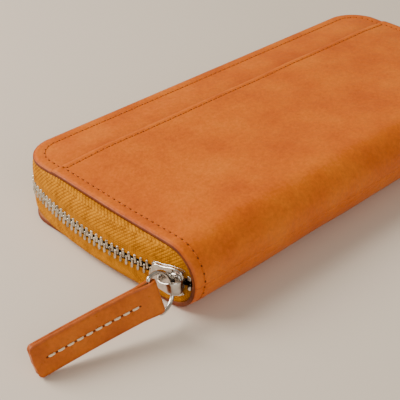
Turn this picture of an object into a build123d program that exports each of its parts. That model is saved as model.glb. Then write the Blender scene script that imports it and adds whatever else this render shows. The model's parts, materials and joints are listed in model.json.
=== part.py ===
from build123d import *
import math
import os

# Zip around wallet, closed and lying on its back. All sizes are millimetres.
# +X runs along the length, the spine is on the -Y side, the long side of the zip
# is on the +Y side and +Z is up. The origin is the middle of the flat bottom.

# Overall sizes of the leather case
LENGTH = 195.0
WIDTH = 93.0
THICKNESS = 25.0
CORNER_RADIUS = 14.0

# Leathers and the sewn seam of the front
LEATHER = 2.0
SEAM_STEP = 0.6
SEAM_FROM_SPINE = 73.3
SEAM_LAP = 6.0
FOLD_ANGLE = 45.0
FOLD_GAP = 0.3

# Lining and card pockets, the same on both halves
LINING = 0.8
LINING_SIDE_INSET = 8.0
LINING_ZIP_INSET = 5.5
LINING_CORNER = 6.0
CARD_LEATHER = 0.75
CARD_STEPS = 3
CARD_STEP_DEPTH = 9.0
CARD_SIDE_INSET = 9.0
CARD_ZIP_INSET = 9.0
CARD_SPINE_GAP = 1.0

# Chain of the main zip, seen from above
CHAIN_PROUD = 1.0
CHAIN_BOW = 3.8
BOW_RADIUS = 150.0
BOW_CENTRE_FROM_MIDDLE = -2.0
CHAIN_CORNER_RADIUS = 13.0
CHAIN_END_FROM_SPINE = 3.4

# Tape and teeth of the main zip
TAPE = 0.5
TAPE_FLANGE = 2.6
TAPE_SLANT = 2.9
TAPE_BAND = 4.9
TAPE_HALF_GAP = 1.6
TAPE_SPINE_CLEARANCE = 0.3
TOOTH_PITCH = 2.6
TOOTH_WIDTH = 1.1
TOOTH_THICKNESS = 2.4
TOOTH_LEG = 1.2
TOOTH_REACH = 2.4
TOOTH_PLAY = 0.05
STOP_LENGTH = 1.3
STOP_FROM_MOUTH = 0.4

# Slider of the main zip
SLIDER_FROM_SPINE = 11.5
SLIDER_LENGTH = 13.0
SLIDER_MOUTH_HEIGHT = 10.4
SLIDER_TAIL_HEIGHT = 8.6
SLIDER_PLATE = 1.2
SLIDER_INSIDE = 3.0
SLIDER_SLOT = 2.0
SLIDER_CORNER = 1.5
SLIDER_RAIL_FROM_MIDDLE = 3.2
WEDGE_LENGTH = 4.0
WEDGE_HALF_HEIGHT = 1.3
WEDGE_FROM_MOUTH = 0.8
BAIL_LENGTH = 8.0
BAIL_HEIGHT = 3.8
BAIL_WIRE = 1.0
BAIL_HOLE = 3.0
BAIL_FROM_MOUTH = 0.4
BAIL_SHOULDER = 1.6
RING_FROM_BAIL_MIDDLE = 0.7

# D ring and leather pull tab
RING_WIRE = 1.4
RING_DEPTH = 9.0
RING_BEND = 6.9
RING_CORNER = 1.2
TAB_LENGTH = 43.0
TAB_WIDTH = 11.0
TAB_LEATHER = 1.4
TAB_FOLD_PLAY = 0.15
TAB_FOLD_LENGTH = 6.0
TAB_EYE_SHORTER = 1.0
TAB_EYE_TIP = 0.1
TAB_CORNER = 1.6
TAB_HEADING = 11.6
TAB_TABLE_CLEARANCE = 0.05
TAB_ROLL = 14.5
TAB_ROOT_OUT = 12.0
TAB_ROOT_FROM_SPINE = 6.8
TAB_ROOT_HEIGHT = 0.1

# Coin pocket on the spine
COIN_HALF_LENGTH = 82.0
COIN_INSIDE = 4.6
COIN_WALL = 0.8
COIN_MOUTH_FROM_ZIP = 13.5
COIN_SIDE_WALL = 1.0
COIN_ROOT_DEPTH = 2.0
COIN_TAPE = 0.5
COIN_TAPE_HALF_GAP = 1.3
COIN_PITCH = 2.0
COIN_TOOTH_WIDTH = 0.85
COIN_TOOTH_THICKNESS = 1.6
COIN_TOOTH_REACH = 1.8
COIN_SLIDER_LENGTH = 8.0
COIN_SLIDER_HEIGHT = 4.2
COIN_SLIDER_PLATE = 0.8
COIN_SLIDER_INSIDE = 2.0
COIN_SLIDER_FROM_END = 5.0
COIN_BAIL = 2.0
COIN_BAIL_WIRE = 0.7
COIN_BAIL_HALF_HEIGHT = 0.8
COIN_WEDGE_LENGTH = 1.0
COIN_WEDGE_HALF_HEIGHT = 1.0
COIN_PULL_LENGTH = 8.5
COIN_PULL_WIDTH = 3.4
COIN_PULL_PLATE = 0.9
COIN_PIN = 0.45
COIN_PIN_PLAY = 0.1

# Side gussets
GUSSET = 0.5
GUSSET_FOLD = 12.0
GUSSET_DEPTH = 36.0
GUSSET_SIDE_INSET = 11.0
GUSSET_SEAM = 2.0

# Places that follow from the sizes
HALF_LENGTH = LENGTH / 2
SPINE_RADIUS = THICKNESS / 2
MIDDLE = THICKNESS / 2
SPINE_AXIS_Y = -WIDTH / 2 + SPINE_RADIUS
ZIP_SIDE_Y = WIDTH / 2
LINING_TOP = LEATHER + LINING
CARDS_TOP = LINING_TOP + CARD_STEPS * CARD_LEATHER
COIN_HALF_HEIGHT = COIN_INSIDE / 2 + COIN_WALL
COIN_MOUTH_Y = ZIP_SIDE_Y - COIN_MOUTH_FROM_ZIP

# The chain runs on an arc that bows out of the short side, a corner arc and a line
BOW_X = -HALF_LENGTH - CHAIN_BOW + BOW_RADIUS
BOW_Y = BOW_CENTRE_FROM_MIDDLE
CHAIN_LINE_Y = ZIP_SIDE_Y + CHAIN_PROUD
TURN_Y = CHAIN_LINE_Y - CHAIN_CORNER_RADIUS
TURN_REACH = BOW_RADIUS - CHAIN_CORNER_RADIUS
TURN_X = BOW_X - math.sqrt(TURN_REACH**2 - (TURN_Y - BOW_Y) ** 2)
CHAIN_END_Y = -WIDTH / 2 + CHAIN_END_FROM_SPINE


def bow_angle(y):
    """Angle, in degrees about the bow's centre, of the point of the bow at y."""
    return 180 - math.degrees(math.asin((y - BOW_Y) / BOW_RADIUS))


BOW_START = bow_angle(CHAIN_END_Y)
BOW_STOP = 180 - math.degrees(math.asin((TURN_Y - BOW_Y) / TURN_REACH))
BOW_RUN = math.radians(BOW_START - BOW_STOP) * BOW_RADIUS
TURN_RUN = math.radians(BOW_STOP - 90) * CHAIN_CORNER_RADIUS
LINE_RUN = -2 * TURN_X
CHAIN_LENGTH = 2 * (BOW_RUN + TURN_RUN) + LINE_RUN

# The slider sits on the bow, square to it
SLIDER_Y = -WIDTH / 2 + SLIDER_FROM_SPINE
SLIDER_ANGLE = bow_angle(SLIDER_Y)
SLIDER_RUN = math.radians(BOW_START - SLIDER_ANGLE) * BOW_RADIUS
SLIDER_DEPTH = SLIDER_INSIDE / 2 + SLIDER_PLATE


def on_bow(angle):
    """Place on the bow at an angle, turned so that local +X runs along the chain."""
    turn = math.radians(angle)
    x = BOW_X + BOW_RADIUS * math.cos(turn)
    y = BOW_Y + BOW_RADIUS * math.sin(turn)
    return Pos(x, y, 0) * Rot(0, 0, angle - 90)


def chain_station(run):
    """Place on the chain after a run from its spine end, local +X along the chain."""
    if run > CHAIN_LENGTH / 2:
        x, y, heading = chain_point(CHAIN_LENGTH - run)
        return Pos(-x, y, 0) * Rot(0, 0, -heading)
    x, y, heading = chain_point(run)
    return Pos(x, y, 0) * Rot(0, 0, heading)


def chain_point(run):
    """x, y and heading in degrees on the half of the chain at -X."""
    if run < BOW_RUN:
        angle = BOW_START - math.degrees(run / BOW_RADIUS)
        centre_x, centre_y, radius = BOW_X, BOW_Y, BOW_RADIUS
    elif run < BOW_RUN + TURN_RUN:
        angle = BOW_STOP - math.degrees((run - BOW_RUN) / CHAIN_CORNER_RADIUS)
        centre_x, centre_y, radius = TURN_X, TURN_Y, CHAIN_CORNER_RADIUS
    else:
        return TURN_X + run - BOW_RUN - TURN_RUN, CHAIN_LINE_Y, 0
    turn = math.radians(angle)
    return centre_x + radius * math.cos(turn), centre_y + radius * math.sin(turn), angle - 90


def block(x0, x1, y0, y1, z0, z1):
    """Box between two corners."""
    return Pos((x0 + x1) / 2, (y0 + y1) / 2, (z0 + z1) / 2) * Box(x1 - x0, y1 - y0, z1 - z0)


def plate(half_length, near, far, radius, bottom, top):
    """Flat sheet with its two zip side corners rounded."""
    face = Pos(0, (near + far) / 2, bottom) * Rectangle(2 * half_length, far - near)
    corners = face.vertices().group_by(Axis.Y)[-1]
    return extrude(fillet(corners, radius), top - bottom)


def spine_sector(inner, outer, start, end, half_length):
    """Part of the half round spine between two angles, measured from +Y towards +Z."""

    def spot(radius, angle):
        turn = math.radians(angle)
        return (SPINE_AXIS_Y + radius * math.cos(turn), MIDDLE + radius * math.sin(turn))

    middle = (start + end) / 2
    edges = [
        Line(spot(inner, start), spot(outer, start)),
        ThreePointArc(spot(outer, start), spot(outer, middle), spot(outer, end)),
        Line(spot(outer, end), spot(inner, end)),
        ThreePointArc(spot(inner, end), spot(inner, middle), spot(inner, start)),
    ]
    return extrude(Plane.YZ * make_face(edges), half_length, both=True)


def inside_spine(radius, half_length):
    """Solid that fills the spine side of the case up to a radius about its axis."""
    return Pos(0, SPINE_AXIS_Y, MIDDLE) * Rot(0, 90, 0) * Cylinder(radius, 2 * half_length)


def upside_down(shape):
    """The same piece on the other half of the case."""
    return mirror(shape, about=Plane.XY.offset(MIDDLE))


# Leather case: three pieces that meet at the two fold lines of the spine

FOLD_SHARE = math.degrees(FOLD_GAP / 2 / SPINE_RADIUS)
SPINE_INNER = SPINE_RADIUS - LEATHER


def back_cover():
    """Back leather with its zip side corners rounded, turning up into the spine."""
    flat = plate(HALF_LENGTH, SPINE_AXIS_Y, ZIP_SIDE_Y, CORNER_RADIUS, 0, LEATHER)
    fold = spine_sector(SPINE_INNER, SPINE_RADIUS, 270, 270 - FOLD_ANGLE + FOLD_SHARE, HALF_LENGTH)
    return flat + fold


SEAM_Y = -WIDTH / 2 + SEAM_FROM_SPINE
STRIP_TOP = THICKNESS - SEAM_STEP
LAP_TOP = THICKNESS - LEATHER + (LEATHER - SEAM_STEP) / 2


def front_panel():
    """Main front leather, turning down into the spine and lapping over the strip."""
    flat = block(-HALF_LENGTH, HALF_LENGTH, SPINE_AXIS_Y, SEAM_Y, THICKNESS - LEATHER, THICKNESS)
    lap = block(-HALF_LENGTH, HALF_LENGTH, SEAM_Y - SEAM_LAP, SEAM_Y, THICKNESS - LEATHER, LAP_TOP)
    fold = spine_sector(SPINE_INNER, SPINE_RADIUS, 90, 90 + FOLD_ANGLE - FOLD_SHARE, HALF_LENGTH)
    return flat + fold - lap


def front_strip():
    """Narrow front leather along the zip, thinned where it lies under the main panel."""
    whole = plate(
        HALF_LENGTH, SEAM_Y - SEAM_LAP, ZIP_SIDE_Y, CORNER_RADIUS, THICKNESS - LEATHER, STRIP_TOP
    )
    thinned = block(-HALF_LENGTH, HALF_LENGTH, SEAM_Y - SEAM_LAP, SEAM_Y, LAP_TOP, STRIP_TOP)
    return whole - thinned


def spine_wrap():
    """Middle of the half round spine, between the two fold lines."""
    start = 180 - FOLD_ANGLE + FOLD_SHARE
    end = 180 + FOLD_ANGLE - FOLD_SHARE
    return spine_sector(SPINE_INNER, SPINE_RADIUS, start, end, HALF_LENGTH)


# Lining, card pockets and gussets

LINING_HALF_LENGTH = HALF_LENGTH - LINING_SIDE_INSET


def lining():
    """Flat lining of the lower half, clear of the zip tape's sewn flange."""
    far = ZIP_SIDE_Y - LINING_ZIP_INSET
    return plate(LINING_HALF_LENGTH, SPINE_AXIS_Y, far, LINING_CORNER, LEATHER, LINING_TOP)


def spine_lining():
    """Lining inside the middle of the spine."""
    start = 180 - FOLD_ANGLE + FOLD_SHARE
    end = 180 + FOLD_ANGLE - FOLD_SHARE
    return spine_sector(SPINE_INNER - LINING, SPINE_INNER, start, end, LINING_HALF_LENGTH)


def card_slot(step):
    """One long card pocket of the lower half; each step is shorter than the one below it."""
    half = HALF_LENGTH - CARD_SIDE_INSET
    near = SPINE_AXIS_Y + CARD_SPINE_GAP
    far = ZIP_SIDE_Y - CARD_ZIP_INSET - step * CARD_STEP_DEPTH
    bottom = LINING_TOP + step * CARD_LEATHER
    return block(-half, half, near, far, bottom, bottom + CARD_LEATHER)


def gusset():
    """Folded side sheet at -X, between the card pockets and the coin pocket."""
    outer = -HALF_LENGTH + GUSSET_SIDE_INSET
    apex = outer + GUSSET_FOLD
    low = CARDS_TOP
    high = MIDDLE - COIN_HALF_HEIGHT
    centre = (low + high) / 2
    profile = Polygon(
        (outer, low),
        (outer + GUSSET_SEAM, low),
        (apex, centre - GUSSET / 2),
        (apex, centre + GUSSET / 2),
        (outer + GUSSET_SEAM, high),
        (outer, high),
        (outer, high - GUSSET),
        (apex - GUSSET_SEAM, centre),
        (outer, low + GUSSET),
        align=None,
    )
    start = SPINE_AXIS_Y + CARD_SPINE_GAP
    face = Pos(0, start, 0) * (Plane.XZ * profile)
    return extrude(face, GUSSET_DEPTH, dir=(0, 1, 0))


# Main zip


def tape():
    """Lower tape: a sewn flange, a slant outwards and a band that stands at the chain."""
    low = LEATHER
    band_top = MIDDLE - TAPE_HALF_GAP
    band_low = band_top - TAPE_BAND
    flange_in = TAPE_SLANT + TAPE_FLANGE
    half = TAPE / 2
    section = [
        (flange_in, low),
        (TAPE_SLANT - half, low),
        (-half, band_low - half),
        (-half, band_top),
        (half, band_top),
        (half, band_low + half),
        (TAPE_SLANT + half, low + TAPE),
        (flange_in, low + TAPE),
    ]
    side = around(section, BOW_X, BOW_Y, BOW_RADIUS, BOW_STOP, BOW_START)
    side += around(section, TURN_X, TURN_Y, CHAIN_CORNER_RADIUS, 90, BOW_STOP)
    line_face = Polygon(*[(CHAIN_LINE_Y - inwards, z) for inwards, z in section], align=None)
    line = extrude(Plane.YZ * line_face, -TURN_X, both=True)
    whole = line + side + mirror(side, about=Plane.YZ)
    beyond = block(-LENGTH, LENGTH, -WIDTH, SPINE_AXIS_Y, -THICKNESS, 2 * THICKNESS)
    beyond -= inside_spine(SPINE_INNER - TAPE_SPINE_CLEARANCE, LENGTH)
    return whole - beyond


def around(section, centre_x, centre_y, radius, start, end):
    """A section of (inwards, z) points turned about a vertical axis between two angles."""
    face = Plane.XZ * Polygon(*[(radius - inwards, z) for inwards, z in section], align=None)
    turned = revolve(Rot(0, 0, start) * face, Axis.Z, end - start)
    return Pos(centre_x, centre_y, 0) * turned


def teeth(first_run):
    """Row of teeth on the lower tape, one every pitch to the same run from the far end."""
    root = MIDDLE - TAPE_HALF_GAP
    half = TOOTH_THICKNESS / 2
    slot = TAPE / 2 + TOOTH_PLAY
    profile = Polygon(
        (-half, root - TOOTH_LEG),
        (-slot, root - TOOTH_LEG),
        (-slot, root),
        (slot, root),
        (slot, root - TOOTH_LEG),
        (half, root - TOOTH_LEG),
        (half, root + TOOTH_REACH),
        (-half, root + TOOTH_REACH),
        align=None,
    )
    tooth = extrude(Plane.YZ * profile, TOOTH_WIDTH / 2, both=True)
    last_run = CHAIN_LENGTH - SLIDER_RUN
    count = int((last_run - first_run) / TOOTH_PITCH) + 1
    return Compound(
        children=[(chain_station(first_run + k * TOOTH_PITCH) * tooth).solid() for k in range(count)]
    )


def top_stop(x_sign):
    """Stop clip on the lower tape, next to the slider's mouth or at the far end."""
    root = MIDDLE - TAPE_HALF_GAP
    half = TOOTH_THICKNESS / 2
    slot = TAPE / 2 + TOOTH_PLAY
    profile = Polygon(
        (-half, root - TOOTH_LEG),
        (-slot, root - TOOTH_LEG),
        (-slot, root),
        (slot, root),
        (slot, root - TOOTH_LEG),
        (half, root - TOOTH_LEG),
        (half, root + TOOTH_PLAY + TAPE),
        (-half, root + TOOTH_PLAY + TAPE),
        align=None,
    )
    clip = extrude(Plane.YZ * profile, STOP_LENGTH / 2, both=True)
    mouth = SLIDER_RUN - SLIDER_LENGTH / 2
    run = mouth - STOP_FROM_MOUTH - STOP_LENGTH / 2
    placed = chain_station(run) * clip
    return placed if x_sign < 0 else mirror(placed, about=Plane.YZ)


# Slider, ring and pull tab


def slider_outline():
    """Outline of a slider plate: wide at the mouth, narrower at the tail."""
    mouth_x = -SLIDER_LENGTH / 2
    shoulder_x = mouth_x + WEDGE_LENGTH
    tail_x = SLIDER_LENGTH / 2
    mouth = SLIDER_MOUTH_HEIGHT / 2
    tail = SLIDER_TAIL_HEIGHT / 2
    outline = Polygon(
        (mouth_x, -mouth),
        (shoulder_x, -mouth),
        (tail_x, -tail),
        (tail_x, tail),
        (shoulder_x, mouth),
        (mouth_x, mouth),
        align=None,
    )
    return fillet(outline.vertices(), SLIDER_CORNER)


def slider_layer(inner, outer):
    """The slider's outline as a layer between two distances out from the chain."""
    face = Pos(0, 0, MIDDLE) * (Plane.XZ * slider_outline())
    return extrude(Pos(0, inner, 0) * face, outer - inner, dir=(0, 1, 0))


def slider_body():
    """Two plates, the rails that hold the teeth and the wedge that parts them."""
    inside = SLIDER_INSIDE / 2
    slot = SLIDER_SLOT / 2
    rails = slider_layer(slot, inside) + slider_layer(-inside, -slot)
    track = SLIDER_RAIL_FROM_MIDDLE
    rails -= block(-SLIDER_LENGTH, SLIDER_LENGTH, -inside, inside, MIDDLE - track, MIDDLE + track)
    plates = slider_layer(inside, SLIDER_DEPTH) + slider_layer(-SLIDER_DEPTH, -inside)
    wedge_x = -SLIDER_LENGTH / 2 + WEDGE_FROM_MOUTH
    low = MIDDLE - WEDGE_HALF_HEIGHT
    high = MIDDLE + WEDGE_HALF_HEIGHT
    wedge = block(wedge_x, wedge_x + WEDGE_LENGTH, -inside, inside, low, high)
    return on_bow(SLIDER_ANGLE) * (plates + rails + wedge)


BAIL_START = -SLIDER_LENGTH / 2 + BAIL_FROM_MOUTH


def slider_bail():
    """Bridge on the slider's outer plate that the ring passes through."""
    top = SLIDER_DEPTH + BAIL_HOLE + BAIL_WIRE
    outer = Polygon(
        (BAIL_START, SLIDER_DEPTH),
        (BAIL_START + BAIL_LENGTH, SLIDER_DEPTH),
        (BAIL_START + BAIL_LENGTH - BAIL_WIRE, top),
        (BAIL_START + BAIL_WIRE, top),
        align=None,
    )
    hole_low = SLIDER_DEPTH
    hole_high = top - BAIL_WIRE
    hole = Polygon(
        (BAIL_START + BAIL_WIRE, hole_low),
        (BAIL_START + BAIL_LENGTH - BAIL_WIRE, hole_low),
        (BAIL_START + BAIL_LENGTH - BAIL_SHOULDER, hole_high),
        (BAIL_START + BAIL_SHOULDER, hole_high),
        align=None,
    )
    face = Pos(0, 0, MIDDLE - BAIL_HEIGHT / 2) * (outer - hole)
    return on_bow(SLIDER_ANGLE) * extrude(face, BAIL_HEIGHT)


TAB_ROOT_Z = MIDDLE + TAB_ROOT_HEIGHT


def tab_slope(roll):
    """Slope of the tab, in radians, that brings its far lower corner down to the table."""
    drop = TAB_WIDTH / 2 * math.cos(roll)
    fall = TAB_ROOT_Z - TAB_LEATHER * math.sin(roll) - TAB_TABLE_CLEARANCE
    return math.asin(fall / math.hypot(TAB_LENGTH, drop)) - math.atan2(drop, TAB_LENGTH)


def tab_frame():
    """Frame at the middle of the ring's bar: X along the tab, Y across it, Z out of its face."""
    heading = math.radians(TAB_HEADING)
    roll = math.radians(TAB_ROLL)
    slope = tab_slope(roll)
    level = Vector(-math.cos(heading), math.sin(heading), 0)
    along = level * math.cos(slope) - Vector(0, 0, math.sin(slope))
    side = Vector(math.sin(heading), math.cos(heading), 0)
    upright = along.cross(side)
    if upright.Z < 0:
        upright = upright * -1
    across = upright * math.cos(roll) + side * math.sin(roll)
    root = Vector(-HALF_LENGTH - TAB_ROOT_OUT, -WIDTH / 2 + TAB_ROOT_FROM_SPINE, TAB_ROOT_Z)
    return Plane(origin=root, x_dir=along, z_dir=along.cross(across))


def bail_middle():
    """Point in the bail's hole where the ring's wire passes."""
    wire_y = SLIDER_DEPTH + BAIL_HOLE / 2
    spot = on_bow(SLIDER_ANGLE) * Pos(BAIL_START + BAIL_LENGTH / 2 - RING_FROM_BAIL_MIDDLE, wire_y, MIDDLE)
    return spot.position


def ring_frame():
    """Frame of the ring: origin at its bar, X towards the bail, Y along the bar."""
    tab = tab_frame()
    bar = tab.y_dir
    towards = bail_middle() - tab.origin
    towards = (towards - bar * towards.dot(bar)).normalized()
    return Plane(origin=tab.origin, x_dir=towards, z_dir=towards.cross(bar))


def pull_ring():
    """D ring of round wire: a straight bar, two tight corners and one round bend."""
    centre_x = RING_DEPTH - RING_BEND
    reach = RING_BEND - RING_CORNER
    corner_y = math.sqrt(reach**2 - (RING_CORNER - centre_x) ** 2)
    lean = math.atan2(corner_y, RING_CORNER - centre_x)
    meet = (centre_x + RING_BEND * math.cos(lean), RING_BEND * math.sin(lean))
    half_way = (math.pi + lean) / 2
    knee = (
        RING_CORNER + RING_CORNER * math.cos(half_way),
        corner_y + RING_CORNER * math.sin(half_way),
    )
    path = Wire(
        [
            Line((0, -corner_y), (0, corner_y)),
            ThreePointArc((0, corner_y), knee, meet),
            ThreePointArc(meet, (RING_DEPTH, 0), (meet[0], -meet[1])),
            ThreePointArc((meet[0], -meet[1]), (knee[0], -knee[1]), (0, -corner_y)),
        ]
    )
    section = Plane.XZ * Circle(RING_WIRE / 2)
    return ring_frame() * sweep(section, path=path)


def pull_tab():
    """Leather strip folded over the ring's bar, its two layers sewn together."""
    loop = RING_WIRE / 2 + TAB_FOLD_PLAY
    fold = Circle(loop + TAB_LEATHER)
    layers = Pos(TAB_FOLD_LENGTH, 0) * Rectangle(2 * TAB_EYE_TIP, 2 * TAB_LEATHER)
    outer = make_hull(fold.edges() + layers.edges())
    outer += Pos((TAB_FOLD_LENGTH + TAB_LENGTH) / 2, 0) * Rectangle(
        TAB_LENGTH - TAB_FOLD_LENGTH, 2 * TAB_LEATHER
    )
    eye = make_hull(Circle(loop).edges() + (Pos(TAB_FOLD_LENGTH - TAB_EYE_SHORTER, 0) * Circle(TAB_EYE_TIP)).edges())
    profile = Plane.XZ * (outer - eye)
    strip = extrude(profile, TAB_WIDTH / 2, both=True)
    reach = TAB_LENGTH + 2 * (loop + TAB_LEATHER)
    outline = Pos(TAB_LENGTH - reach / 2, 0) * Rectangle(reach, TAB_WIDTH)
    outline = fillet(outline.vertices().group_by(Axis.X)[-1], TAB_CORNER)
    return tab_frame() * (strip & extrude(outline, 2 * TAB_LENGTH, both=True))


# Coin pocket, held by the middle of the spine

COIN_LOW = MIDDLE - COIN_HALF_HEIGHT
COIN_ROOT_Y = SPINE_AXIS_Y - SPINE_INNER + LINING + 2 * COIN_ROOT_DEPTH


def coin_wall():
    """Lower wall of the coin pocket."""
    half = COIN_HALF_LENGTH
    return block(-half, half, COIN_ROOT_Y, COIN_MOUTH_Y, COIN_LOW, COIN_LOW + COIN_WALL)


def coin_side():
    """Side wall of the coin pocket at -X, between its two walls."""
    low = COIN_LOW + COIN_WALL
    high = low + COIN_INSIDE
    outer = -COIN_HALF_LENGTH
    return block(outer, outer + COIN_SIDE_WALL, COIN_ROOT_Y, COIN_MOUTH_Y, low, high)


def coin_root():
    """Bottom fold of the coin pocket, sewn to the inside of the spine."""
    half = COIN_HALF_LENGTH
    top = COIN_LOW + 2 * COIN_HALF_HEIGHT
    strip = block(-half, half, -WIDTH, COIN_ROOT_Y, COIN_LOW, top)
    return strip & inside_spine(SPINE_INNER - LINING, half)


def coin_tape():
    """Lower tape of the coin zip, standing across the mouth."""
    high = MIDDLE - COIN_TAPE_HALF_GAP
    half = COIN_HALF_LENGTH
    return block(-half, half, COIN_MOUTH_Y, COIN_MOUTH_Y + COIN_TAPE, COIN_LOW, high)


def coin_teeth(shift):
    """Row of teeth on the lower tape of the coin zip."""
    root = MIDDLE - COIN_TAPE_HALF_GAP
    middle_y = COIN_MOUTH_Y + COIN_TAPE / 2
    half = COIN_TOOTH_THICKNESS / 2
    first = -COIN_HALF_LENGTH + COIN_SLIDER_FROM_END + shift
    count = int((COIN_HALF_LENGTH - COIN_PITCH - first) / COIN_PITCH) + 1
    tooth = block(
        -COIN_TOOTH_WIDTH / 2,
        COIN_TOOTH_WIDTH / 2,
        middle_y - half,
        middle_y + half,
        root,
        root + COIN_TOOTH_REACH,
    )
    return Compound(children=[(Pos(first + k * COIN_PITCH, 0, 0) * tooth).solid() for k in range(count)])


COIN_SLIDER_X = -COIN_HALF_LENGTH + COIN_SLIDER_FROM_END
COIN_CHAIN_Y = COIN_MOUTH_Y + COIN_TAPE / 2


def coin_slider():
    """Slider of the coin zip: two plates, a wedge and a bail on the outer plate."""
    inside = COIN_SLIDER_INSIDE / 2
    half = COIN_SLIDER_LENGTH / 2
    low = MIDDLE - COIN_SLIDER_HEIGHT / 2
    high = MIDDLE + COIN_SLIDER_HEIGHT / 2
    face = inside + COIN_SLIDER_PLATE
    plates = block(-half, half, inside, face, low, high)
    plates += block(-half, half, -face, -inside, low, high)
    wedge_low = MIDDLE - COIN_WEDGE_HALF_HEIGHT
    wedge_high = MIDDLE + COIN_WEDGE_HALF_HEIGHT
    wedge = block(-half, COIN_WEDGE_LENGTH - half, -inside, inside, wedge_low, wedge_high)
    bail_half = COIN_BAIL / 2 + COIN_BAIL_WIRE
    bail_low = MIDDLE - COIN_BAIL_HALF_HEIGHT
    bail_high = MIDDLE + COIN_BAIL_HALF_HEIGHT
    bail = block(-bail_half, bail_half, face, face + COIN_BAIL + COIN_BAIL_WIRE, bail_low, bail_high)
    bail -= block(-COIN_BAIL / 2, COIN_BAIL / 2, face, face + COIN_BAIL, bail_low, bail_high)
    return Pos(COIN_SLIDER_X, COIN_CHAIN_Y, 0) * (plates + wedge + bail)


COIN_PIN_Y = COIN_CHAIN_Y + COIN_SLIDER_INSIDE / 2 + COIN_SLIDER_PLATE + COIN_BAIL / 2


def coin_pull():
    """Pull of the coin slider: a pin through the bail, two ears and a small plate."""
    half = COIN_PULL_WIDTH / 2
    pin = Pos(0, 0, MIDDLE) * Cylinder(COIN_PIN, 2 * half)
    ear_x = math.sqrt(2) * (COIN_BAIL / 2 + COIN_BAIL_WIRE) + 2 * COIN_PIN_PLAY
    ear_y = COIN_PULL_PLATE / 2
    ear = block(-COIN_PIN, ear_x, -ear_y, ear_y, MIDDLE + half - COIN_BAIL_WIRE, MIDDLE + half)
    leaf = block(ear_x, COIN_PULL_LENGTH, -ear_y, ear_y, MIDDLE - half, MIDDLE + half)
    whole = pin + ear + upside_down(ear) + leaf
    return Pos(COIN_SLIDER_X, COIN_PIN_Y, 0) * whole


def coin_stops():
    """Two stops of the coin zip, one beyond each end of its teeth."""
    half = COIN_TOOTH_THICKNESS / 2
    low = MIDDLE - COIN_TAPE_HALF_GAP
    high = MIDDLE + COIN_TAPE_HALF_GAP
    outer = COIN_HALF_LENGTH
    stop = block(outer - COIN_TOOTH_WIDTH, outer, COIN_CHAIN_Y - half, COIN_CHAIN_Y + half, low, high)
    stop -= block(0, outer + 1, COIN_MOUTH_Y - 1, COIN_MOUTH_Y, low, high)
    return Compound(children=[stop.solid(), mirror(stop, about=Plane.YZ).solid()])


def joints():
    """Prints the places and axes of the joints, in millimetres."""
    fold = math.radians(FOLD_ANGLE)
    fold_y = SPINE_AXIS_Y - SPINE_RADIUS * math.sin(fold)
    fold_z = MIDDLE - SPINE_RADIUS * math.cos(fold)
    ring = ring_frame()
    hinge = ring.origin + ring.x_dir * RING_DEPTH
    print("fold lower", fold_y, fold_z)
    print("fold upper", fold_y, THICKNESS - fold_z)
    print("travel", BOW_X, BOW_Y, MIDDLE, "degrees to the corner", SLIDER_ANGLE - BOW_STOP)
    print("ring", tuple(hinge), "axis", tuple(ring.y_dir))
    print("tab", tuple(ring.origin), "axis", tuple(tab_frame().y_dir))
    print("bail", tuple(bail_middle()))
    print("coin pull", COIN_SLIDER_X, COIN_PIN_Y, MIDDLE)


def pieces():
    """Every node of the wallet by name."""
    first = SLIDER_RUN
    made = {
        "back_cover": back_cover(),
        "front_panel": front_panel(),
        "front_strip": front_strip(),
        "spine_wrap": spine_wrap(),
        "back_lining": lining(),
        "front_lining": upside_down(lining()),
        "spine_lining": spine_lining(),
        "lower_zip_tape": tape(),
        "upper_zip_tape": upside_down(tape()),
        "lower_zip_teeth": teeth(first),
        "upper_zip_teeth": upside_down(teeth(first + TOOTH_PITCH / 2)),
        "lower_top_stop": top_stop(-1),
        "upper_top_stop": upside_down(top_stop(-1)),
        "lower_end_stop": top_stop(1),
        "upper_end_stop": upside_down(top_stop(1)),
        "slider_body": slider_body(),
        "slider_bail": slider_bail(),
        "pull_ring": pull_ring(),
        "pull_tab": pull_tab(),
        "coin_pocket_back": coin_wall(),
        "coin_pocket_front": upside_down(coin_wall()),
        "coin_pocket_left_side": coin_side(),
        "coin_pocket_right_side": mirror(coin_side(), about=Plane.YZ),
        "coin_pocket_root": coin_root(),
        "coin_tape_lower": coin_tape(),
        "coin_tape_upper": upside_down(coin_tape()),
        "coin_teeth_lower": coin_teeth(0),
        "coin_teeth_upper": upside_down(coin_teeth(COIN_PITCH / 2)),
        "coin_zip_stops": coin_stops(),
        "coin_slider": coin_slider(),
        "coin_slider_pull": coin_pull(),
        "left_gusset_lower": gusset(),
        "left_gusset_upper": upside_down(gusset()),
        "right_gusset_lower": mirror(gusset(), about=Plane.YZ),
        "right_gusset_upper": upside_down(mirror(gusset(), about=Plane.YZ)),
    }
    for step in range(CARD_STEPS):
        made[f"back_card_slot_{step + 1}"] = card_slot(step)
        made[f"front_card_slot_{step + 1}"] = upside_down(card_slot(step))
    return made


os.makedirs("parts", exist_ok=True)
for name, shape in pieces().items():
    solids = shape.solids()
    print(name, len(solids), "solids", round(sum(s.volume for s in solids), 1), "mm3")
    export_step(solids[0] if len(solids) == 1 else Compound(children=list(solids)), f"parts/{name}.step")
joints()
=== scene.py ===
# %% [markdown]
# # Zip around wallet
# A long leather wallet lies closed on its back. Its case is one skin of soft vegetable
# tanned leather, bent round a half round spine and sewn along its open edges to a zip.
# The imported frame already holds every part at its true size, so this lesson only makes the
# surfaces that the eye sees, and ties most of them to the body that it moves with; the front
# and back leather, their edge stitches, the gussets and the imported small parts are not tied
# to a body.

# %% Load the frame
import json

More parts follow.
